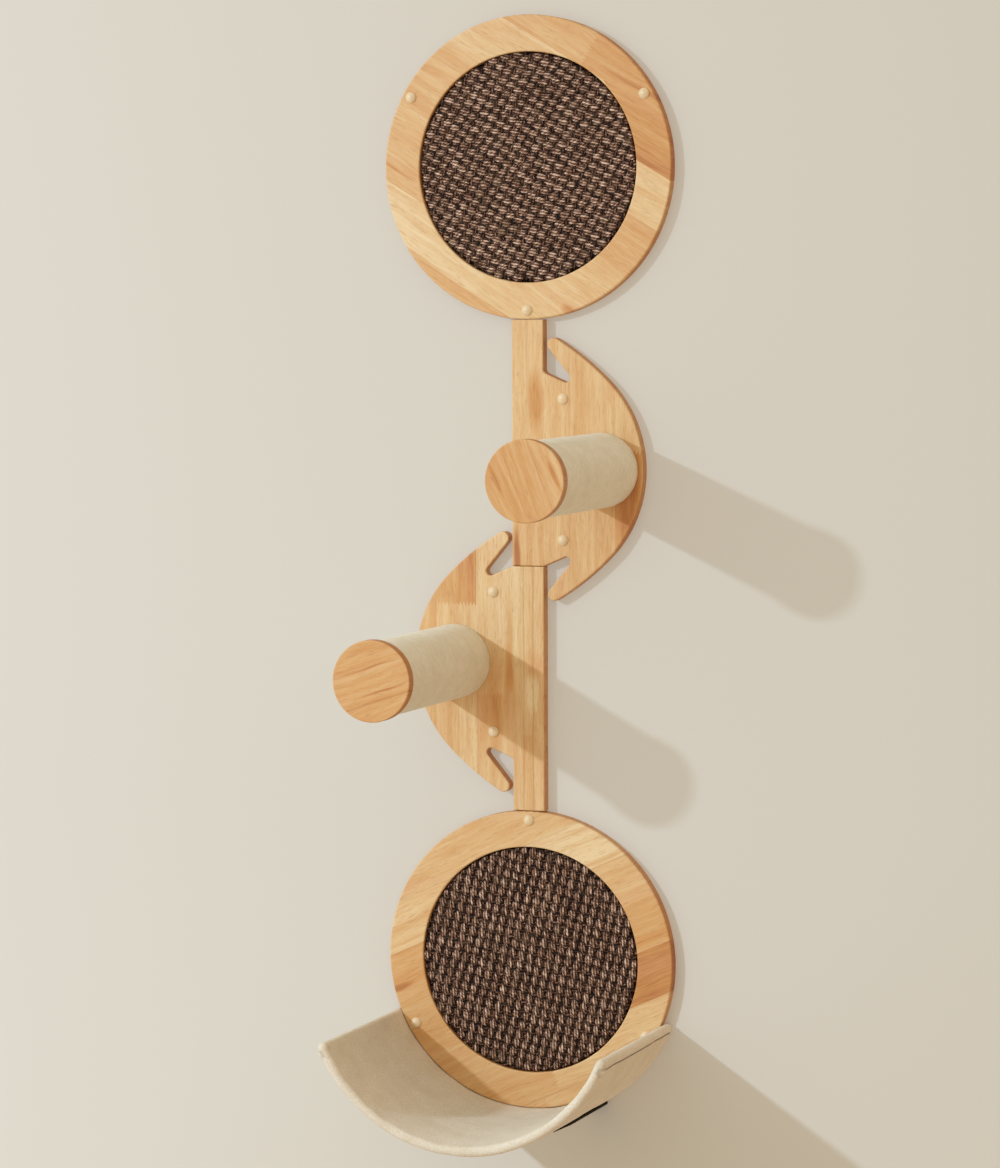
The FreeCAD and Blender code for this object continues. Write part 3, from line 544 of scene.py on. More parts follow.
def postSleeve(side):
    node = f"{side}_post_felt"
    low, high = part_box(node)
    middle = (low + high) / 2
    radius = (high.x - low.x) / 2
    thick = sleeve["thickMm"] * mm
    tuck = sleeve["tuckMm"] * mm
    stations = [(high.y - tuck, radius - thick), (high.y, radius - thick), (high.y, radius - thick / 3)]
    for i in range(sleeve["along"] + 1):
        stations.append((high.y + (low.y - high.y) * i / sleeve["along"], radius))
    stations += [(low.y, radius - thick / 3), (low.y, radius - thick), (low.y + tuck, radius - thick)]
    points, turns = ringPoints(middle, stations, sleeve["around"])
    centre = np.array([middle.x, 0, middle.z])
    outward = (points - centre) * (1, 0, 1)
    reach = np.linalg.norm(outward, axis=1, keepdims=True)
    outward /= reach
    seed = sleeve["seeds"][side]
    wave = np.minimum(soft(points * sleeve["waveStretch"], seed, sleeve["waveSizeMm"]), 0.0)
    crease = np.minimum(soft(points * sleeve["creaseStretch"], seed + 2, sleeve["creaseSizeMm"]), 0.0)
    relief = wave * sleeve["waveMm"] + crease * sleeve["creaseMm"]
    gap = np.angle(np.exp(1j * (turns - math.radians(sleeve["seamDeg"])))) * radius / mm
    seam = np.exp(-(gap / sleeve["seamWideMm"]) ** 2)
    shown = reach[:, 0] > radius - thick / 2
    points += outward * (shown * (relief - seam * sleeve["seamDeepMm"]) * mm)[:, None]
    piece = addMesh(f"{side}PostSleeve", points, gridFaces(len(stations), sleeve["around"], True), postFelt)
    # painted shade along the seam's groove, in the felt's dark cut-edge colour
    dark = sleeve["seamShade"] * shown * np.exp(-(gap / (sleeve["seamWideMm"] / 2)) ** 2)
    setPointValues(piece, "cutEdgeAndShade", dark)
    settle(piece, node)


# the nap runs round the posts
# the posts' felt takes paler tones than the cover's: painted light on the same felt
postFelt = needleFelt("needleFelt.posts", (6.0, 1.0, 6.0), "#D6CCAB", "#F3EEDC", "#FBF8EC")
for side in ("upper", "lower"):
    postSleeve(side)
print("felt sleeves")

cradle = {
    "wingDeg": 22.0,  # how far below level the wings end
    "clearMm": 0.3,  # room between the bottom disc and the felt
    "cornerMm": 7.15,
    "stepMm": 2.4,
    "rimSteps": 9,
    "hemFrontMm": 8.0, "hemBackMm": 6.6,  # the cloth folds over the wings' ends and is cut off this far down
    "hemThickMm": 0.5, "hemLineMm": 0.6, "hemSharp": 5, "hemFadeMm": 4,
    "hemWaveMm": 0.2, "hemWaves": (9, 4, 5), "hemWaveFrom": 0.05,
    "hemShade": 0.9, "shadeAt": 1.2, "shadeWide": 1.5,  # the dark line, painted shadow of the hem's step along its cut edge, in widths of the hem's edge
    "deepestMm": 1.7,  # the board lies 2.15 mm under the felt
    "thickMm": 2.0,
    "waveMm": 0.4, "waveSizeMm": 42.0,
    "rimWaveMm": 0.6, "rimWaveSizeMm": 26.0,
    "puckers": 5, "puckerMm": 0.9, "puckerReachMm": 14.0,
    # the gathered lump under each front corner
    "foldAtMm": (10.5, 4.5), "foldSizeMm": (3.0, 3.2), "foldMm": 3.8, "creaseAt": 1.4, "creaseWide": 0.4,
    # painted shade in the crease round each lump
    "creaseShade": 0.3,
    "seeds": (11, 21), "noiseApart": 0.05,  # so that the two faces differ
}


def coverLines(length, half, seam, count):
    # Distances from an edge: close together round the rim and at the hem, then even steps.
    rim = [half * (1 - math.cos(math.pi / 2 * i / cradle["rimSteps"])) for i in range(cradle["rimSteps"])]
    wide = cradle["hemLineMm"] * mm
    rest = [half, (half + seam) / 2 - wide, seam - 2 * wide, seam - wide, seam - wide / 2, seam,
            seam + wide / 2, seam + wide, seam + 2 * wide, seam + 4 * wide]
    left = length - rest[-1]
    return np.array(rim + rest + [rest[-1] + left * i / count for i in range(1, count + 1)])


def cradleCover():
    low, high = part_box("cradle_felt")
    axis = bottomCentre.z
    outer = axis - low.z
    inner = (discHigh.x - discLow.x) / 2 + cradle["clearMm"] * mm
    half = (outer - inner) / 2
    middle = (outer + inner) / 2
    reach = math.radians(90 - cradle["wingDeg"]) * middle
    deep = high.y - low.y
    step = cradle["stepMm"] * mm
    fromFront = coverLines(deep, half, cradle["hemFrontMm"] * mm, round(deep / step))
    back = fromFront / deep
    hem = (cradle["hemFrontMm"] + (cradle["hemBackMm"] - cradle["hemFrontMm"]) * back) * mm
    waves, bends, swings = cradle["hemWaves"]
    wavy = np.sin(waves * back + bends * np.sin(swings * back)) * (back > cradle["hemWaveFrom"])
    hem += cradle["hemWaveMm"] * mm * wavy
    side = np.stack([coverLines(reach, half, at, round(reach / step)) for at in hem], 1)
    a = np.concatenate([side, side[-2::-1]])  # distance from the nearer wing's end
    b = np.broadcast_to(fromFront, a.shape)
    sign = np.concatenate([np.full(len(side), -1.0), np.full(len(side) - 1, 1.0)])[:, None]
    corner = cradle["cornerMm"] * mm
    rim = np.minimum(a, b)
    inCorner = (a < corner) & (b < corner)
    ring = np.where(inCorner, corner - rim, 1.0)
    ea, eb = corner - a, corner - b
    angle = np.where(ea >= eb, math.pi / 4 * eb / ring, math.pi / 2 - math.pi / 4 * ea / ring)
    flatA = np.where(inCorner, corner - ring * np.cos(angle), a)
    flatB = np.where(inCorner, corner - ring * np.sin(angle), b)
    s = sign * (reach - flatA)
    y = low.y + flatB
    swell = np.sqrt(np.clip(half ** 2 - np.clip(half - rim, 0, None) ** 2, 0, None))
    turn = s / middle

    # the cloth is gathered over the front corners
    bend = np.arctan2(np.maximum(corner - b, -corner), np.maximum(corner - a, -corner))
    fade = np.exp(-(np.hypot(a, b) / (cradle["puckerReachMm"] * mm)) ** 2)
    pucker = np.clip(np.cos(4 * cradle["puckers"] * bend), 0, 1) * fade * cradle["puckerMm"] * mm
    foldA = (a / mm - cradle["foldAtMm"][0]) / cradle["foldSizeMm"][0]
    foldB = (b / mm - cradle["foldAtMm"][1]) / cradle["foldSizeMm"][1]
    fold = np.exp(-foldA ** 2 - foldB ** 2) * cradle["foldMm"] * mm
    crease = np.exp(-((np.hypot(foldA, foldB) - cradle["creaseAt"]) / cradle["creaseWide"]) ** 2)
    past = (a - hem) / (cradle["hemLineMm"] * mm)
    fromCorner = np.clip((b / mm - cradle["cornerMm"]) / cradle["hemFadeMm"], 0, 1)
    drop = cradle["hemThickMm"] * mm / (1 + np.exp(-np.clip(past * cradle["hemSharp"], -50, 50)))
    line = np.exp(-past ** 2) * fromCorner
    # the line's shadow lies under the hem, where the eye sees it
    shadow = np.exp(-((past - cradle["shadeAt"]) / cradle["shadeWide"]) ** 2) * fromCorner
    waveSeed, rimSeed = cradle["seeds"]
    sheets = []
    for face in (-1, 1):
        flat = np.stack([s, y, np.full_like(s, face * cradle["noiseApart"])], -1).reshape(-1, 3)
        wave = np.minimum(soft(flat, waveSeed + face, cradle["waveSizeMm"]), 0).reshape(s.shape)
        wave = wave * cradle["waveMm"] * mm
        ripple = np.minimum(soft(flat, rimSeed + face, cradle["rimWaveSizeMm"]), 0).reshape(s.shape)
        ripple *= cradle["rimWaveMm"] * mm * np.exp(-rim / (2 * half))
        depth = wave + ripple - pucker
        if face > 0:
            depth = depth - drop - cradle["hemThickMm"] * mm * line
            depth = np.maximum(depth, -cradle["deepestMm"] * mm) + fold  # the board never shows through
        off = np.where(rim > 0, face * (swell + depth * np.clip(rim / half, 0, 1)), 0)
        r = middle + off
        sheets.append(np.stack([r * np.sin(turn), y, axis - r * np.cos(turn)], -1))
    rows, columns = s.shape
    inside, outside = sheets
    # the raw back edge turns in round the board by the felt's own thickness
    tucks = []
    for face in (-1, 1):
        r = middle + face * (half - cradle["thickMm"] * mm)
        edge = np.stack([r * np.sin(turn[:, -1]), y[:, -1], axis - r * np.cos(turn[:, -1])], -1)
        tucks += [edge, edge - (0, 2 * cradle["thickMm"] * mm, 0)]
    points = np.concatenate([inside.reshape(-1, 3), outside.reshape(-1, 3), *tucks])
    under = rows * columns
    faces = []
    for r, c, d, e in gridFaces(rows, columns):
        faces.append((r, c, d, e))
        faces.append((under + e, under + d, under + c, under + r))
    for face in (0, 1):
        ends = [face * under + r * columns + columns - 1 for r in range(rows)]
        tuckA = [2 * under + (2 * face) * rows + r for r in range(rows)]
        tuckB = [2 * under + (2 * face + 1) * rows + r for r in range(rows)]
        for r in range(rows - 1):
            for one, two in ((ends, tuckA), (tuckA, tuckB)):
                quad = (one[r], two[r], two[r + 1], one[r + 1])
                faces.append(quad if face else quad[::-1])
    piece = addMesh("cradleCover", points, faces, coverFelt)
    # painted shade: the shadow line under the hem and the crease round each fold lump
    cut = np.zeros(len(points))
    cut[under:2 * under] = np.maximum(cradle["hemShade"] * shadow, cradle["creaseShade"] * crease).ravel()
    setPointValues(piece, "cutEdgeAndShade", cut)
    weld(piece)
    settle(piece, "cradle_felt")


def weld(piece):
    work = bmesh.new()
    work.from_mesh(piece.data)
    bmesh.ops.remove_doubles(work, verts=work.verts, dist=weldMm * mm)
    bmesh.ops.recalc_face_normals(work, faces=work.faces)
    work.to_mesh(piece.data)
    work.free()


# the cover's felt takes darker, warmer tones than the posts': painted shade and warm bounce light in the
# cradle's hollow
coverFelt = needleFelt("needleFelt.cover", (1.6, 1.6, 1.6), "#CDBD9C", "#EADFCA", "#F5ECDC")
cradleCover()
print("cradle cover")


# sisal mats: thick twisted yarn, woven over and under a thin one, on a backing

weave = {
    "gapMm": 6.9,  # between neighbouring thick yarns
    "crossMm": 6.65,  # between the thin yarns that they cross
    "backingMm": 1.0,
    "edgeMm": 0.8,  # from the mat's rim to the yarns' ends
    "slantDeg": 28.0,  # of the strands on a yarn's top, clockwise from its course
    "fibreTurn": 0.22,  # the fibres lean back the other way, in strands for each mm along
    "jitterMm": 0.35, "fatJitter": 0.06, "tallJitterMm": 0.12,
    "endMm": 1.6, "endShares": (0.75, 0.55, 0.35),  # the yarns' ends sink: their width, depth and height
    "bowMm": 1.6, "bowSizeMm": 120.0, "rimMm": 0.2,
    # sideLift: how light a yarn's sides are painted against its top, painted shade
    "lobeMiddle": 0.7, "sideLift": 0.3,
    # the darkest tone is painted shade in the gaps, the palest a painted glint on the yarns' tops
    "tones": [(0.0, "#140A05"), (0.22, "#452B1C"), (0.48, "#755442"), (0.78, "#B08F78"), (1.0, "#E8CDB7")],
    "mossHex": "#6A5843", "mossFrom": (0.8, 0.95), "mossAmount": 0.2,  # some knuckles took less dye
    "fibreLongMm": 5.0, "fibresPerStrand": 3.6,  # real fibres are 0.2 mm thick, drawn about four times that
    "strandAmount": 0.22, "crownAmount": 0.42, "paintedLightAmount": 0.6, "contrast": 1.3, "level": -0.6,
}
# shade: the share of painted light a yarn gets; the thin yarn lies under the thick one and is painted darker
yarns = {
    "thick": {"halfWideMm": 3.8, "halfHighMm": 1.15, "crestMm": 2.3, "dipMm": 1.7, "archMm": 0.3,
              "sharp": 2.6, "narrow": 0.25, "strands": 6, "lobe": 0.42, "perStrand": 4, "perCross": 7,
              "shade": 1.0},
    "thin": {"halfWideMm": 2.9, "halfHighMm": 0.8, "crestMm": 1.6, "dipMm": 1.0, "archMm": 0.1, "sharp": 1.2,
             "narrow": 0.1, "strands": 4, "lobe": 0.35, "perStrand": 3, "perCross": 5, "shade": 0.36},
}
mats = {
    "top": {"node": "top_sisal_mat", "middle": topCentre, "courseDeg": 12.2, "seed": 31, "dark": 0.0,
            "skew": 0.15},
    "bottom": {"node": "bottom_sisal_mat", "middle": bottomCentre, "courseDeg": -61.0, "seed": 32,
               "dark": 0.06, "skew": 0.35},
}


def wovenSisal():
    # Dyed sisal yarn: dark brown, with pale stiff fibres along each strand. Its light and shade are painted:
    # tops lighter, with a painted glint, and painted shade in the grooves, down the sides and where a yarn
    # dips.
    material, add = newFinish("wovenSisal")
    spot = add("UVMap", uv_map="strand")
    axes = add("SeparateXYZ", {0: spot})
    paintedLight = add("Attribute", attribute_name="paintedLight")
    dye = add("Attribute", attribute_name="dye")
    dyeSeed = add("Math", {0: dye.outputs["Fac"], 1: 97.0}, operation="MULTIPLY")
    strand = add("Math", {0: axes.outputs["Y"]}, operation="FLOOR")
    strandSeed = add("CombineXYZ", {0: strand, 1: dyeSeed})
    strandTone = add("TexWhiteNoise", {"Vector": strandSeed}, noise_dimensions="2D")
    lean = add("Math", {0: axes.outputs["X"], 1: weave["fibreTurn"], 2: axes.outputs["Y"]},
            operation="MULTIPLY_ADD")
    leant = add("CombineXYZ", {0: axes.outputs["X"], 1: lean})
    lie = add("Mapping", {"Vector": leant,
            "Scale": (1 / weave["fibreLongMm"], weave["fibresPerStrand"], 1.0)})
    fibre = add("TexNoise", {"Vector": lie, "W": dyeSeed, "Scale": 1.0, "Detail": 1.5},
            noise_dimensions="4D")
    # painted shade in the grooves between strands, painted light on their middles
    groove = add("Math", {0: axes.outputs["Y"], 1: 0.5}, operation="PINGPONG")
    crown = add("MapRange", {"Value": groove, "From Max": 0.42})
    fibreTone = add("MapRange", {"Value": fibre, "From Min": 0.3, "From Max": 0.7, "To Min": -0.3,
            "To Max": 0.3})
    stranded = add("Math", {0: strandTone, 1: weave["strandAmount"], 2: fibreTone},
            operation="MULTIPLY_ADD")
    crowned = add("Math", {0: crown, 1: weave["crownAmount"], 2: stranded}, operation="MULTIPLY_ADD")
    lifted = add("Math", {0: paintedLight.outputs["Fac"], 1: weave["paintedLightAmount"], 2: crowned},
            operation="MULTIPLY_ADD")
    level = add("Math", {0: lifted, 1: weave["contrast"], 2: weave["level"]}, operation="MULTIPLY_ADD")
    tint = add("ValToRGB", {0: level}, weave["tones"])
    pale = add("MapRange", {"Value": dye.outputs["Fac"], **between("From", weave["mossFrom"]),
            "To Max": weave["mossAmount"]})
    colour = add("Mix", {0: pale, 6: tint, 7: weave["mossHex"]})
    relief = add("Math", {0: fibre, 1: crown}, operation="ADD")
    bump = add("Bump", {"Height": relief, "Strength": 1.0, "Distance": 0.6 * mm})
    finishSurface(add, {"Base Color": colour, "Roughness": 0.55, "Normal": bump,
            "Specular IOR Level": 0.12})
    return material


def layYarns(kind, course, radius, seed, skew):
    # Tubes of one set of yarns in the mat's own plane: points (right, up, out), quads, ends, strand places,
    # painted light and dye. Every yarn runs over one crossing and dives under the next, and its strands wind
    # round it.
    look = yarns[kind]
    thick = kind == "thick"
    gap, cross = (weave["gapMm"], weave["crossMm"]) if thick else (weave["crossMm"], weave["gapMm"])
    draw = np.random.default_rng(seed)
    ahead = np.array([math.cos(course), math.sin(course)])
    left = np.array([-ahead[1], ahead[0]])
    slant = math.tan(math.radians(weave["slantDeg"])) / look["halfWideMm"]
    sides = look["strands"] * look["perStrand"]
    strand = np.arange(sides) / look["perStrand"]
    lobes = 1 + look["lobe"] * (np.abs(np.sin(math.pi * strand)) - weave["lobeMiddle"])
    parts = {"points": [], "quads": [], "ends": [], "strand": [], "paintedLight": [], "dye": []}
    start = 0
    most = int(radius / gap)
    for index in range(-most, most + 1):
        offset = index * gap
        half = math.sqrt(max(radius ** 2 - offset ** 2, 0))
        if half < cross:
            continue
        count = max(8, int(2 * half / cross * look["perCross"]))
        s = np.linspace(-half, half, count)
        step = s / cross + index + (0 if thick else 1)
        begin = draw.uniform(0, 2 * math.pi)
        around = strand[None, :] * 2 * math.pi / look["strands"] + slant * s[:, None] + begin
        slid = skew * look["halfWideMm"] / cross * np.cos(around)  # the knuckles lie askew
        wave = (1 - np.cos(math.pi * (step[:, None] + slid))) / 2
        dip = wave ** look["sharp"]
        knots = np.arange(math.floor(-half / cross) - 1, math.ceil(half / cross) + 2)
        places = knots * cross
        shift = np.interp(s, places, draw.normal(0, weave["jitterMm"], len(knots)))
        fat = 1 + np.interp(s, places, draw.normal(0, weave["fatJitter"], len(knots)))
        tall = np.interp(s, places, draw.normal(0, weave["tallJitterMm"], len(knots)))
        inner = np.clip((half - np.abs(s)) / weave["endMm"], 0, 1)
        widely, deeply, highly = (least + (1 - least) * inner for least in weave["endShares"])
        high = look["crestMm"] - look["dipMm"] * dip - look["archMm"] * wave + tall[:, None]
        wide = look["halfWideMm"] * (1 - look["narrow"] * dip) * (fat * widely)[:, None]
        deep = look["halfHighMm"] * deeply
        aside = shift[:, None] + wide * np.cos(around) * lobes
        out = high * highly[:, None] + deep[:, None] * np.sin(around) * lobes
        flat = s[:, None, None] * ahead + (offset + aside)[:, :, None] * left
        # painted light: a yarn's top is lighter than its sides, and where it dips it is painted darker
        crown = weave["sideLift"] + (1 - weave["sideLift"]) * np.sin(around).clip(0, 1)
        floats = np.floor((step + 1) / 2).astype(int)
        dye = draw.uniform(0, 1, floats.max() - floats.min() + 1)[floats - floats.min()]
        parts["points"].append(np.concatenate([flat, out[:, :, None]], 2).reshape(-1, 3))
        parts["strand"].append(np.stack(np.broadcast_arrays(s[:, None], strand[None, :]), 2).reshape(-1, 2))
        parts["paintedLight"].append(((1 - dip) * crown * look["shade"]).ravel())
        parts["dye"].append(np.repeat(dye, sides))
        parts["quads"].append(np.array(gridFaces(count, sides, True)) + start)
        parts["ends"] += [np.arange(sides)[::-1] + start, np.arange(sides) + start + (count - 1) * sides]
        start += count * sides
    joined = {name: np.concatenate(parts[name]) for name in ("points", "quads", "strand", "paintedLight", "dye")}
    corners = joined["strand"][joined["quads"]]
    behind = corners[:, :, 1:] < corners[:, :, 1:].max(1, keepdims=True) - look["strands"] / 2
    corners[:, :, 1:] += behind * look["strands"]  # the last strand runs on into the first
    joined["corners"] = corners.reshape(-1, 2)
    joined["ends"] = parts["ends"]
    return joined


def addWeave(key, mat):
    node = mat["node"]
    low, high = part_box(node)
    radius = (high.x - low.x) / 2
    middle = mat["middle"]
    floor = high.y - weave["backingMm"] * mm
    course = math.radians(mat["courseDeg"])
    over = layYarns("thick", course, radius / mm - weave["edgeMm"], mat["seed"], mat["skew"])
    under = layYarns("thin", course + math.pi / 2, radius / mm - weave["edgeMm"], mat["seed"] + 1, 0.0)
    later = len(over["points"])
    flat = np.concatenate([over["points"], under["points"]]) * mm
    faces = np.concatenate([over["quads"], under["quads"] + later]).tolist()
    faces += [end.tolist() for end in over["ends"]] + [(end + later).tolist() for end in under["ends"]]
    across = np.hypot(flat[:, 0], flat[:, 1])
    loose = weave["bowMm"] * mm * (1 - np.minimum(across / radius, 1) ** 2)  # rows wander away from the rim
    plane = flat * (1, 1, 0)
    right = flat[:, 0] + soft(plane, mat["seed"], weave["bowSizeMm"]) * loose
    up = flat[:, 1] + soft(plane, mat["seed"] + 40, weave["bowSizeMm"]) * loose
    pull = np.minimum(1, (radius - weave["rimMm"] * mm) / np.maximum(np.hypot(right, up), mm))
    out = np.minimum(flat[:, 2], high.y - low.y - weave["backingMm"] * mm)
    place = np.stack([middle.x + right * pull, floor - out, middle.z + up * pull], 1)
    piece = addMesh(f"{key}SisalWeave", place, faces, sisal)
    corners = np.concatenate([over["corners"], under["corners"]])
    strandMap = np.zeros((len(piece.data.loops), 2), dtype=np.float32)
    strandMap[:len(corners)] = corners
    layer = piece.data.uv_layers.new(name="strand")
    layer.uv.foreach_set("vector", strandMap.ravel())
    setPointValues(piece, "paintedLight", np.concatenate([over["paintedLight"], under["paintedLight"]]) - mat["dark"])
    setPointValues(piece, "dye", np.concatenate([over["dye"], under["dye"]]))
    settle(piece, node)
    backing = addBacking(key, node, middle, radius)


def addBacking(key, node, middle, radius):
    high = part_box(node)[1]
    thick = weave["backingMm"] * mm
    sides = 128
    rings = []
    for share in (0.25, 0.5, 0.75, 0.97, 1.0):
        rings.append((high.y - thick * (1.0 if share < 1 else 0.6), radius * share))
    rings += [(high.y, radius), (high.y, radius * 0.5)]
    points, _ = ringPoints(middle, rings, sides)
    faces = gridFaces(len(rings), sides, True)
    faces.append(tuple(range(sides)))
    faces.append(tuple(len(rings) * sides - 1 - i for i in range(sides)))
    piece = addMesh(f"{key}MatBacking", points, faces, latex)
    settle(piece, node)
    return piece


sisal = wovenSisal()
# natural latex coating on the mats' backs, dull; its near-black colour is painted shade between the yarns
latex = grainy("latexBacking", 1.5, 3.0, ("#120A06", "#281A11"), (0.5, 0.3),
        {"Roughness": 0.85, "Specular IOR Level": 0.1})
for key, mat in mats.items():
    addWeave(key, mat)
print("woven mats")


# plastic, steel, plywood and board

# moulded polyethylene: cream, slightly waxy, with a soft highlight
polyethylene = grainy("mouldedPolyethylene", 2.5, 2.0, ("#DCC093", "#E8D2AA"), (0.15, 0.1),
        {"Roughness": 0.38, "IOR": 1.51})
# flat steel bar with black powder coat: fine orange peel, half matt
powderCoat = grainy("powderCoatedSteel", 0.9, 2.0, ("#170D04", "#241606"), (0.3, 0.1),
        {"Roughness": 0.6, "Specular IOR Level": 0.12})


def zincPlate():
    # Bright zinc on steel: pale grey, cloudy, with fine turning marks.
    material, add = newFinish("zincPlatedSteel")
    cloud, colour = mottled(add, [1.8] * 3, 4.0, ("#A9A59A", "#D8D5CB"))
    rough = add("MapRange", {"Value": cloud, "To Min": 0.28, "To Max": 0.5})
    finishSurface(add, {"Base Color": colour, "Metallic": 1.0, "Roughness": rough})
    return material


def bentPlywood():
    # Birch plywood: pale veneers about 1 mm thick, every other one end grain and darker at the edge.
    material, add = newFinish("birchPlywood")
    spot = add("TexCoord").outputs["Object"]
    toAxis = add("VectorMath", {0: spot, 1: (0, 0, bottomCentre.z)}, operation="SUBTRACT")
    flat = add("VectorMath", {0: toAxis, 1: (1, 0, 1)}, operation="MULTIPLY")
    radius = add("VectorMath", {0: flat}, operation="LENGTH")
    ply = add("Math", {0: radius, 1: 1.0 * mm}, operation="PINGPONG")
    layer = add("Math", {0: ply, 1: 0.5 * mm}, operation="GREATER_THAN")
    _, face = mottled(add, (3.0, 40.0, 3.0), 4.0, ("#D8B887", "#E8D0A6"))
    colour = add("Mix", {0: layer, 6: face, 7: "#B98F5C"})
    finishSurface(add, {"Base Color": colour, "Roughness": 0.7})
    return material


def woundBoard():
    # Spiral-wound paperboard tube: kraft brown with the edges of the wound strip.
    material, add = newFinish("kraftTube")
    spot = add("TexCoord").outputs["Object"]
    axes = add("SeparateXYZ", {0: spot})
    climb = add("Math", {0: axes.outputs["Y"], 1: 60 * mm}, operation="PINGPONG")
    line = add("MapRange", {"Value": climb, "From Max": 0.6 * mm, "To Min": 0.6, "To Max": 0.0})
    colour = add("Mix", {0: line, 6: "#A98458", 7: "#7C5C3A"})
    finishSurface(add, {"Base Color": colour, "Roughness": 0.85})
    return material


def turnedPine():
    # Turned pine plug: straight pale and brown rings along the grain.
    material, add = newFinish("turnedPine")
    _, colour = mottled(add, (4.0, 60.0, 25.0), 3.0, ("#D9B679", "#B98A4E"))
    finishSurface(add, {"Base Color": colour, "Roughness": 0.7})
    return material


finishes = {"cap_plastic": polyethylene, "black_steel": powderCoat, "zinc_steel": zincPlate(),
            "plywood": bentPlywood(), "tube_board": woundBoard(), "plug_wood": turnedPine()}
for part in frame["record"]["subparts"]:
    if part["material_slot"] in finishes:
        nodes[part["node"]].data.materials[0] = finishes[part["material_slot"]]
print("finishes on the small parts")


# fasteners: upset heads with a driver recess, rolled threads

screwSides = 64
screwForm = {
    "floorShare": {"hex": 0.9, "cross": 0.45},  # of the driver recess, against its mouth
    "lipMm": 0.1, "lipShare": 1.04,
    "threadSteps": 24, "footShare": 0.3, "rootShare": 0.9, "tipShare": 0.15,
    "sharpDeg": 35,
}
wallScrew = {
    "driver": "cross", "driverMm": 2.3, "driverDeepMm": 1.7,
    "profileMm": [(3.1, 0.0), (3.55, 0.2), (3.8, 0.75), (3.8, 2.4), (3.65, 2.6), (2.1, 2.6), (2.1, 6.4),
                  (1.25, 7.4), (1.2, 36.6), (0.1, 41.5)],
    "threadMm": (7.0, 40.6), "pitchMm": 1.9, "crestMm": 1.75,
}
legScrew = {
    "driver": "cross", "driverMm": 1.6, "driverDeepMm": 1.2,
    "profileMm": [(2.75, 0.0), (2.88, 0.08), (1.45, 1.5), (1.05, 2.2), (1.0, 7.4), (0.1, 9.3)],
    "threadMm": (2.0, 8.7), "pitchMm": 1.35, "crestMm": 1.48,
}
underScrew = {
    "driver": "cross", "driverMm": 1.9, "driverDeepMm": 0.7,
    "profileMm": [(2.3, 0.0), (3.0, 0.2), (3.4, 0.55), (3.48, 1.0), (1.45, 1.0), (1.05, 2.0),
                  (1.0, 7.7), (0.1, 9.6)],
    "threadMm": (1.8, 9.0), "pitchMm": 1.35, "crestMm": 1.48,
}
postBolt = {
    "driver": "hex", "driverMm": 2.9, "driverDeepMm": 3.6,
    "profileMm": [(7.6, 0.0), (7.98, 0.25), (4.0, 4.2), (3.98, 9.0), (3.4, 9.6), (3.38, 29.0), (2.9, 29.6)],
    "threadMm": (9.2, 29.2), "pitchMm": 1.25, "crestMm": 3.98,
}
bracketScrews = {"leanDeg": 25.5, "legMm": (124.3, 139.3), "outMm": (44.0, 82.0), "headTopMm": 163.8}


def driverOutline(driver, turns):
    # Radius of the driver recess at each angle, 1 at its furthest.
    if driver == "hex":
        fold = np.abs((turns + math.pi / 6) % (math.pi / 3) - math.pi / 6)
        return math.cos(math.pi / 6) / np.cos(math.pi / 6 - fold)
    fold = np.abs((turns + math.pi / 4) % (math.pi / 2) - math.pi / 4)
    armHalf = 0.24
    return np.minimum(1.0, armHalf / np.maximum(np.sin(fold), armHalf))


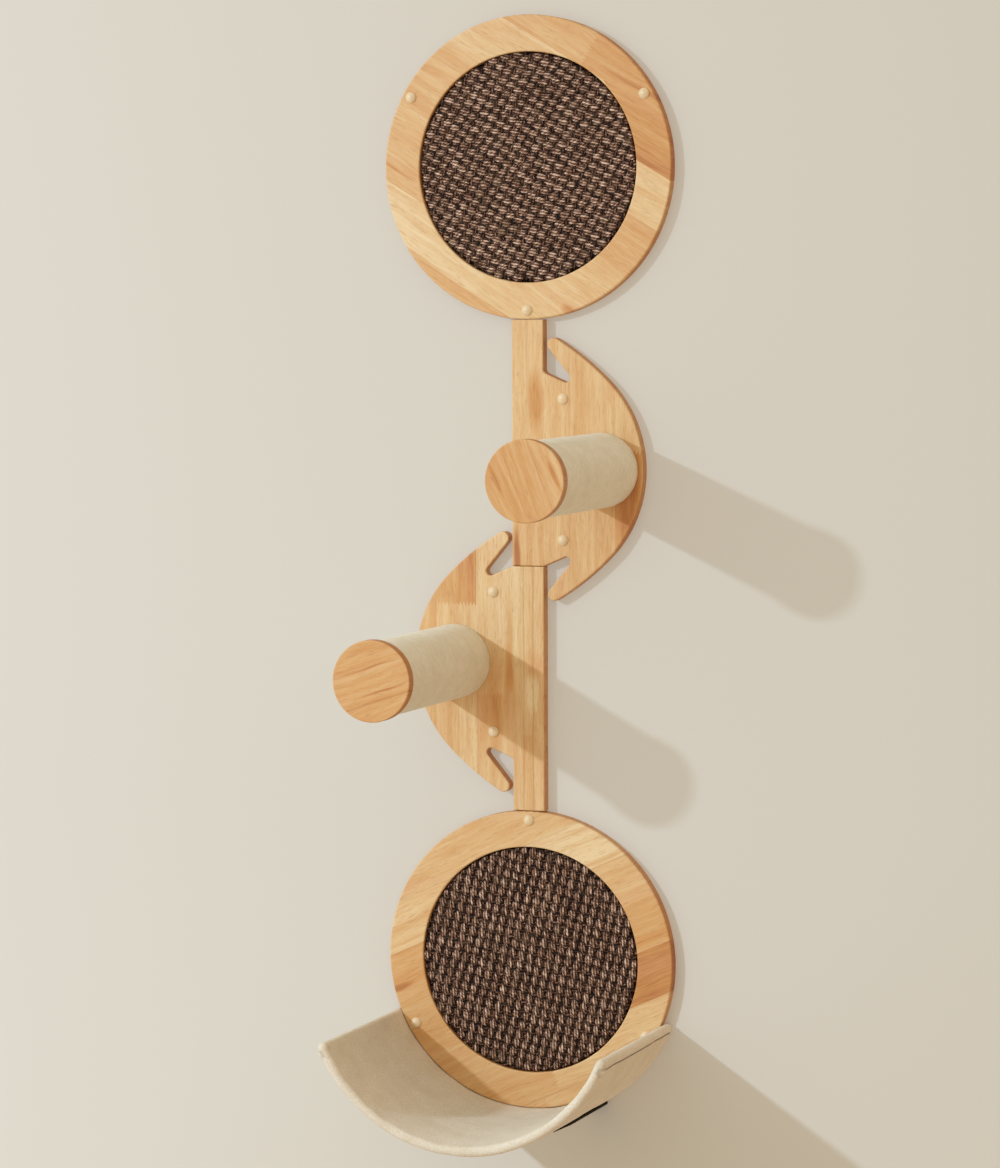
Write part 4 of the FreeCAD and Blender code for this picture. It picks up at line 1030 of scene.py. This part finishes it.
def turnedScrew(look):
    # Points and faces in mm, from the top of the head along +Z.
    turns = np.arange(screwSides) * 2 * math.pi / screwSides
    recess = driverOutline(look["driver"], turns) * look["driverMm"]
    deep = look["driverDeepMm"]
    narrow = screwForm["floorShare"][look["driver"]]
    rings = [(recess * narrow, deep), (recess, screwForm["lipMm"]), (recess * screwForm["lipShare"], 0.0)]
    rings += [(np.full(screwSides, r), along) for r, along in look["profileMm"]]
    points = []
    for r, along in rings:
        points.append(np.stack([r * np.cos(turns), r * np.sin(turns), np.full(screwSides, along)], 1))
    faces = gridFaces(len(rings), screwSides, True)
    faces.append(tuple(range(screwSides))[::-1])
    faces.append(tuple((len(rings) - 1) * screwSides + i for i in range(screwSides)))
    start = len(rings) * screwSides

    # the thread is a ridge that winds round the core and runs out at both ends
    first, last = look["threadMm"]
    steps = int((last - first) / look["pitchMm"] * screwForm["threadSteps"])
    wind = np.linspace(0, 2 * math.pi * (last - first) / look["pitchMm"], steps)
    along = first + look["pitchMm"] * wind / (2 * math.pi)
    radii, stations = zip(*look["profileMm"])
    core = np.interp(along, stations, radii)
    full = np.interp(along, stations[-2:], (1.0, screwForm["tipShare"]))
    rise = np.clip(np.minimum(wind, wind[-1] - wind) / math.pi, 0, 1) * full
    crest = core + np.maximum(look["crestMm"] - core, 0) * rise
    foot = screwForm["footShare"] * look["pitchMm"]
    root = core * screwForm["rootShare"]  # just inside the core
    for radius, shift in ((root, -foot), (crest, 0.0), (root, foot)):
        points.append(np.stack([radius * np.cos(wind), radius * np.sin(wind), along + shift], 1))
    for i in range(steps - 1):
        for one, two in ((0, 1), (1, 2), (2, 0)):
            faces.append((start + one * steps + i, start + two * steps + i, start + two * steps + i + 1,
                    start + one * steps + i + 1))
    faces.append(tuple(start + k * steps for k in (2, 1, 0)))
    faces.append(tuple(start + (k + 1) * steps - 1 for k in range(3)))
    return np.concatenate(points), faces


def addFasteners(name, node, slot, look, places):
    # places: the top of each head and the way its point goes
    shape, shapeFaces = turnedScrew(look)
    points, faces = [], []
    for top, toPoint in places:
        turn = np.array(Vector(toPoint).to_track_quat("Z", "Y").to_matrix())
        faces += [tuple(i + len(points) * len(shape) for i in face) for face in shapeFaces]
        points.append(np.array(top) + shape @ turn.T * mm)
    piece = addMesh(name, np.concatenate(points), faces, finishes[slot])
    piece.data.set_sharp_from_angle(angle=math.radians(screwForm["sharpDeg"]))
    weld(piece)
    settle(piece, node)


for board, caps in (("top_disc", ("bottom", "right", "left")), ("bottom_disc", ("top", "right", "left")),
                    ("upper_step", ("top", "bottom")), ("lower_step", ("top", "bottom"))):
    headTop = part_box(f"{board}_screws")[0].y
    spots = [sum(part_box(f"{board}_cap_{cap}"), Vector()) / 2 for cap in caps]
    first, second = board.split("_")
    addFasteners(f"{first}{second.title()}Screws", f"{board}_screws", "zinc_steel", wallScrew,
            [((spot.x, headTop, spot.z), (0, 1, 0)) for spot in spots])
for side in ("upper", "lower"):
    low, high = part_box(f"{side}_post_bolt")
    middle = (low + high) / 2
    addFasteners(f"{side}PostBolt", f"{side}_post_bolt", "zinc_steel", postBolt,
            [((middle.x, high.y, middle.z), (0, -1, 0))])
lean = math.radians(bracketScrews["leanDeg"])
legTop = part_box("bracket_leg_screws")[1].y
legPlaces, underPlaces = [], []
for side in (-1, 1):
    down = Vector((side * math.sin(lean), 0, -math.cos(lean)))
    for radius in bracketScrews["legMm"]:
        spot = Vector((0, legTop, bottomCentre.z)) + down * radius * mm
        legPlaces.append((spot, (0, -1, 0)))
    for out in bracketScrews["outMm"]:
        spot = Vector((0, -out * mm, bottomCentre.z)) + down * bracketScrews["headTopMm"] * mm
        underPlaces.append((spot, -down))
addFasteners("bracketLegScrews", "bracket_leg_screws", "zinc_steel", legScrew, legPlaces)
addFasteners("cradleBracketScrews", "cradle_bracket_screws", "black_steel", underScrew, underPlaces)
print("fasteners")
